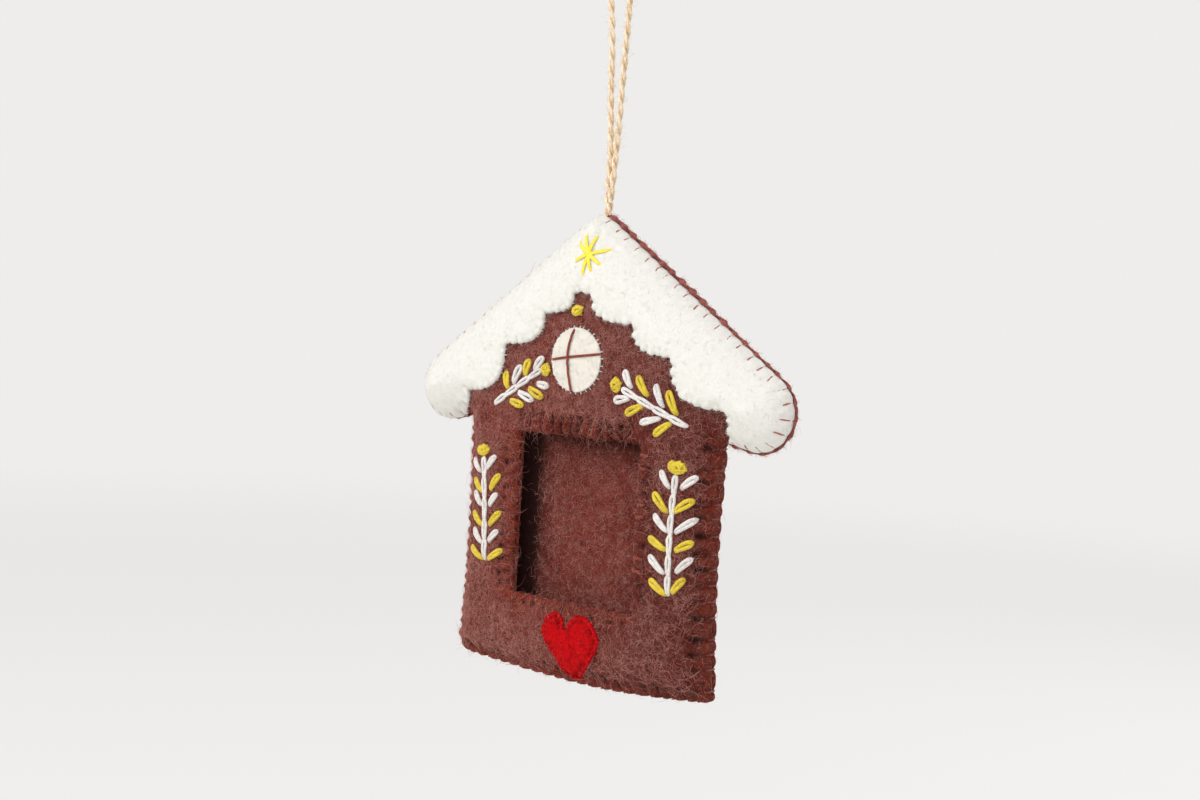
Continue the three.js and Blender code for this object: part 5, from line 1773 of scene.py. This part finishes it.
def knot_on(p, yarn, knot, thick, face):
    """A knot coiled on itself, from its rim up to its middle."""
    middle, wide, high, turn, coils = knot
    middle, wide, high = p.seen(middle, face), wide * MM, high * MM
    cos, sin = math.cos(math.radians(turn)), math.sin(math.radians(turn))

    def coil(u, v, lift, ply, step, **lay):
        x, z = middle[0] + u * cos - v * sin, middle[1] + u * sin + v * cos
        path = np.column_stack((x, face(x, z) - lift, z))
        yarn.lay(p.placed(even(path, step)), ply, sides=12, **lay)
    t = np.linspace(0, 1, round(34 * coils))
    angle = 2 * np.pi * coils * t + 2.2
    inner = 1 - 0.8 * t ** 1.15
    wobble = 1 + 0.1 * np.sin(1.7 * angle + coils)
    u = (0.5 * wide - 0.5 * thick) * inner * wobble * np.cos(angle)
    v = (0.5 * high - 0.5 * thick) * inner * wobble * np.sin(angle)
    lift = (0.4 + 0.75 * t + 0.12 * np.sin(1.6 * angle)) * thick
    lift[:4] -= np.linspace(0.9, 0.1, 4) * thick
    lift[-6:] -= np.linspace(0, 0.9, 6) * thick
    coil(u, v, lift, thick, 0.26 * MM, lobes=5, groove=0.26, turn=8 * MM)

    thin = 0.66 * thick
    t = np.linspace(0, 1, round(60 * coils))
    angle = 2 * np.pi * coils * t + 0.6
    u = 0.64 * np.cos(angle) + 0.34 * np.cos(1.62 * angle + coils)
    v = 0.64 * np.sin(angle) - 0.34 * np.sin(1.62 * angle + coils)
    u, v = (np.sign(w) * np.abs(w) ** 0.8 for w in (u, v))
    far = np.hypot(u, v)
    lift = (1.25 - 0.75 * far ** 2 + 0.16 * np.sin(2.6 * angle)) * thick
    lift[:5] -= np.linspace(0.9, 0.1, 5) * thick
    lift[-5:] -= np.linspace(0.1, 0.9, 5) * thick
    coil((0.5 * wide - 0.5 * thin) * u, (0.5 * high - 0.5 * thin) * v, lift, thin, 0.22 * MM,
         lobes=4, groove=0.3, turn=6 * MM)


class HOUSE_OT_embroidery(bpy.types.Operator):
    """Embroiders the star, the knots and the sprigs"""
    bl_idname = "felt_house.embroidery"
    bl_label = "Embroidery"

    def execute(self, context):
        p = pattern_of(context)
        thick = p.thread.floss
        yarn = Yarn(50)
        middle = p.seen(STAR_MIDDLE, p.snow_face)
        for n, tip in enumerate(STAR_TIPS):
            tip = p.seen(tip, p.snow_face)
            way = tip - middle
            aside = np.array((way[1], -way[0])) / np.linalg.norm(way)
            for shift in (-0.24, 0, 0.24):
                shift *= MM
                places = [middle - way * 0.1 + aside * shift * 0.5,
                          middle + way * 0.25 + aside * shift,
                          middle + way * 0.7 + aside * shift * 0.9,
                          tip + aside * shift * 0.5 - way * abs(shift) * 90]
                top = 0.35 + 0.1 * (n % 3)
                strand(p, yarn, places, (0, top * thick, 0.2 * thick, -0.35 * MM), 0.5 * thick, p.snow_face)
        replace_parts(yarn.piece("star_stitches", "lemon"), "star")

        yarn = Yarn(51)
        knot_on(p, yarn, GABLE_KNOT, 1.05 * thick, p.front)
        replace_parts(yarn.piece("gable_knot_coil", "yellow"), "gable_knot")

        for name, sprig in SPRIGS.items():
            yarn = Yarn(52)
            chain(p, yarn, sprig["stem"], 0.95 * thick, p.front)
            for base, tip, wide in sprig["white"]:
                lazy_daisy(p, yarn, base, tip, wide, 1.1 * thick, p.front)
            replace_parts(yarn.piece(name + "_stem_stitches", "floss"), name + "_stem")
            for n, (base, tip, wide) in enumerate(sprig["yellow"], 1):
                yarn = Yarn(60 + n)
                lazy_daisy(p, yarn, base, tip, wide, 1.14 * thick, p.front)
                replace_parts(yarn.piece(f"{name}_leaf_{n}_loop", "yellow"), f"{name}_leaf_{n}")
            yarn = Yarn(53)
            knot_on(p, yarn, sprig["knot"], 1.05 * thick, p.front)
            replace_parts(yarn.piece(name + "_knot_coil", "yellow"), name + "_knot")
        return {"FINISHED"}


class HOUSE_PT_panel(bpy.types.Panel):
    """Lists the steps that dress the house"""
    bl_idname = "HOUSE_PT_panel"
    bl_label = "Felt House"
    bl_space_type = "VIEW_3D"
    bl_region_type = "UI"
    bl_category = "Felt House"

    def draw(self, context):
        for step in OPERATORS:
            self.layout.operator(step.bl_idname, text=step.bl_label)
        for group in GROUPS:
            box = self.layout.box()
            for name in GROUPS[group].__annotations__:
                box.prop(getattr(context.scene, group), name)


GROUPS = {
    "house_shape": HouseShape,
    "house_felt": HouseFelt,
    "house_thread": HouseThread,
    "house_twine": HouseTwine,
    "house_fuzz": HouseFuzz,
    "house_colours": HouseColours,
}
OPERATORS = (HOUSE_OT_stage, HOUSE_OT_twine, HOUSE_OT_brown_felt, HOUSE_OT_snow, HOUSE_OT_appliques,
             HOUSE_OT_edge_threads, HOUSE_OT_embroidery)
CLASSES = (*GROUPS.values(), *OPERATORS, HOUSE_PT_panel)


def register():
    for item in CLASSES:
        bpy.utils.register_class(item)
    for name, group in GROUPS.items():
        setattr(bpy.types.Scene, name, PointerProperty(type=group))


def unregister():
    for name in GROUPS:
        delattr(bpy.types.Scene, name)
    for item in reversed(CLASSES):
        bpy.utils.unregister_class(item)


def main():
    register()
    for item in OPERATORS:
        area, step = item.bl_idname.split(".")
        getattr(getattr(bpy.ops, area), step)()


if __name__ == "__main__":
    main()
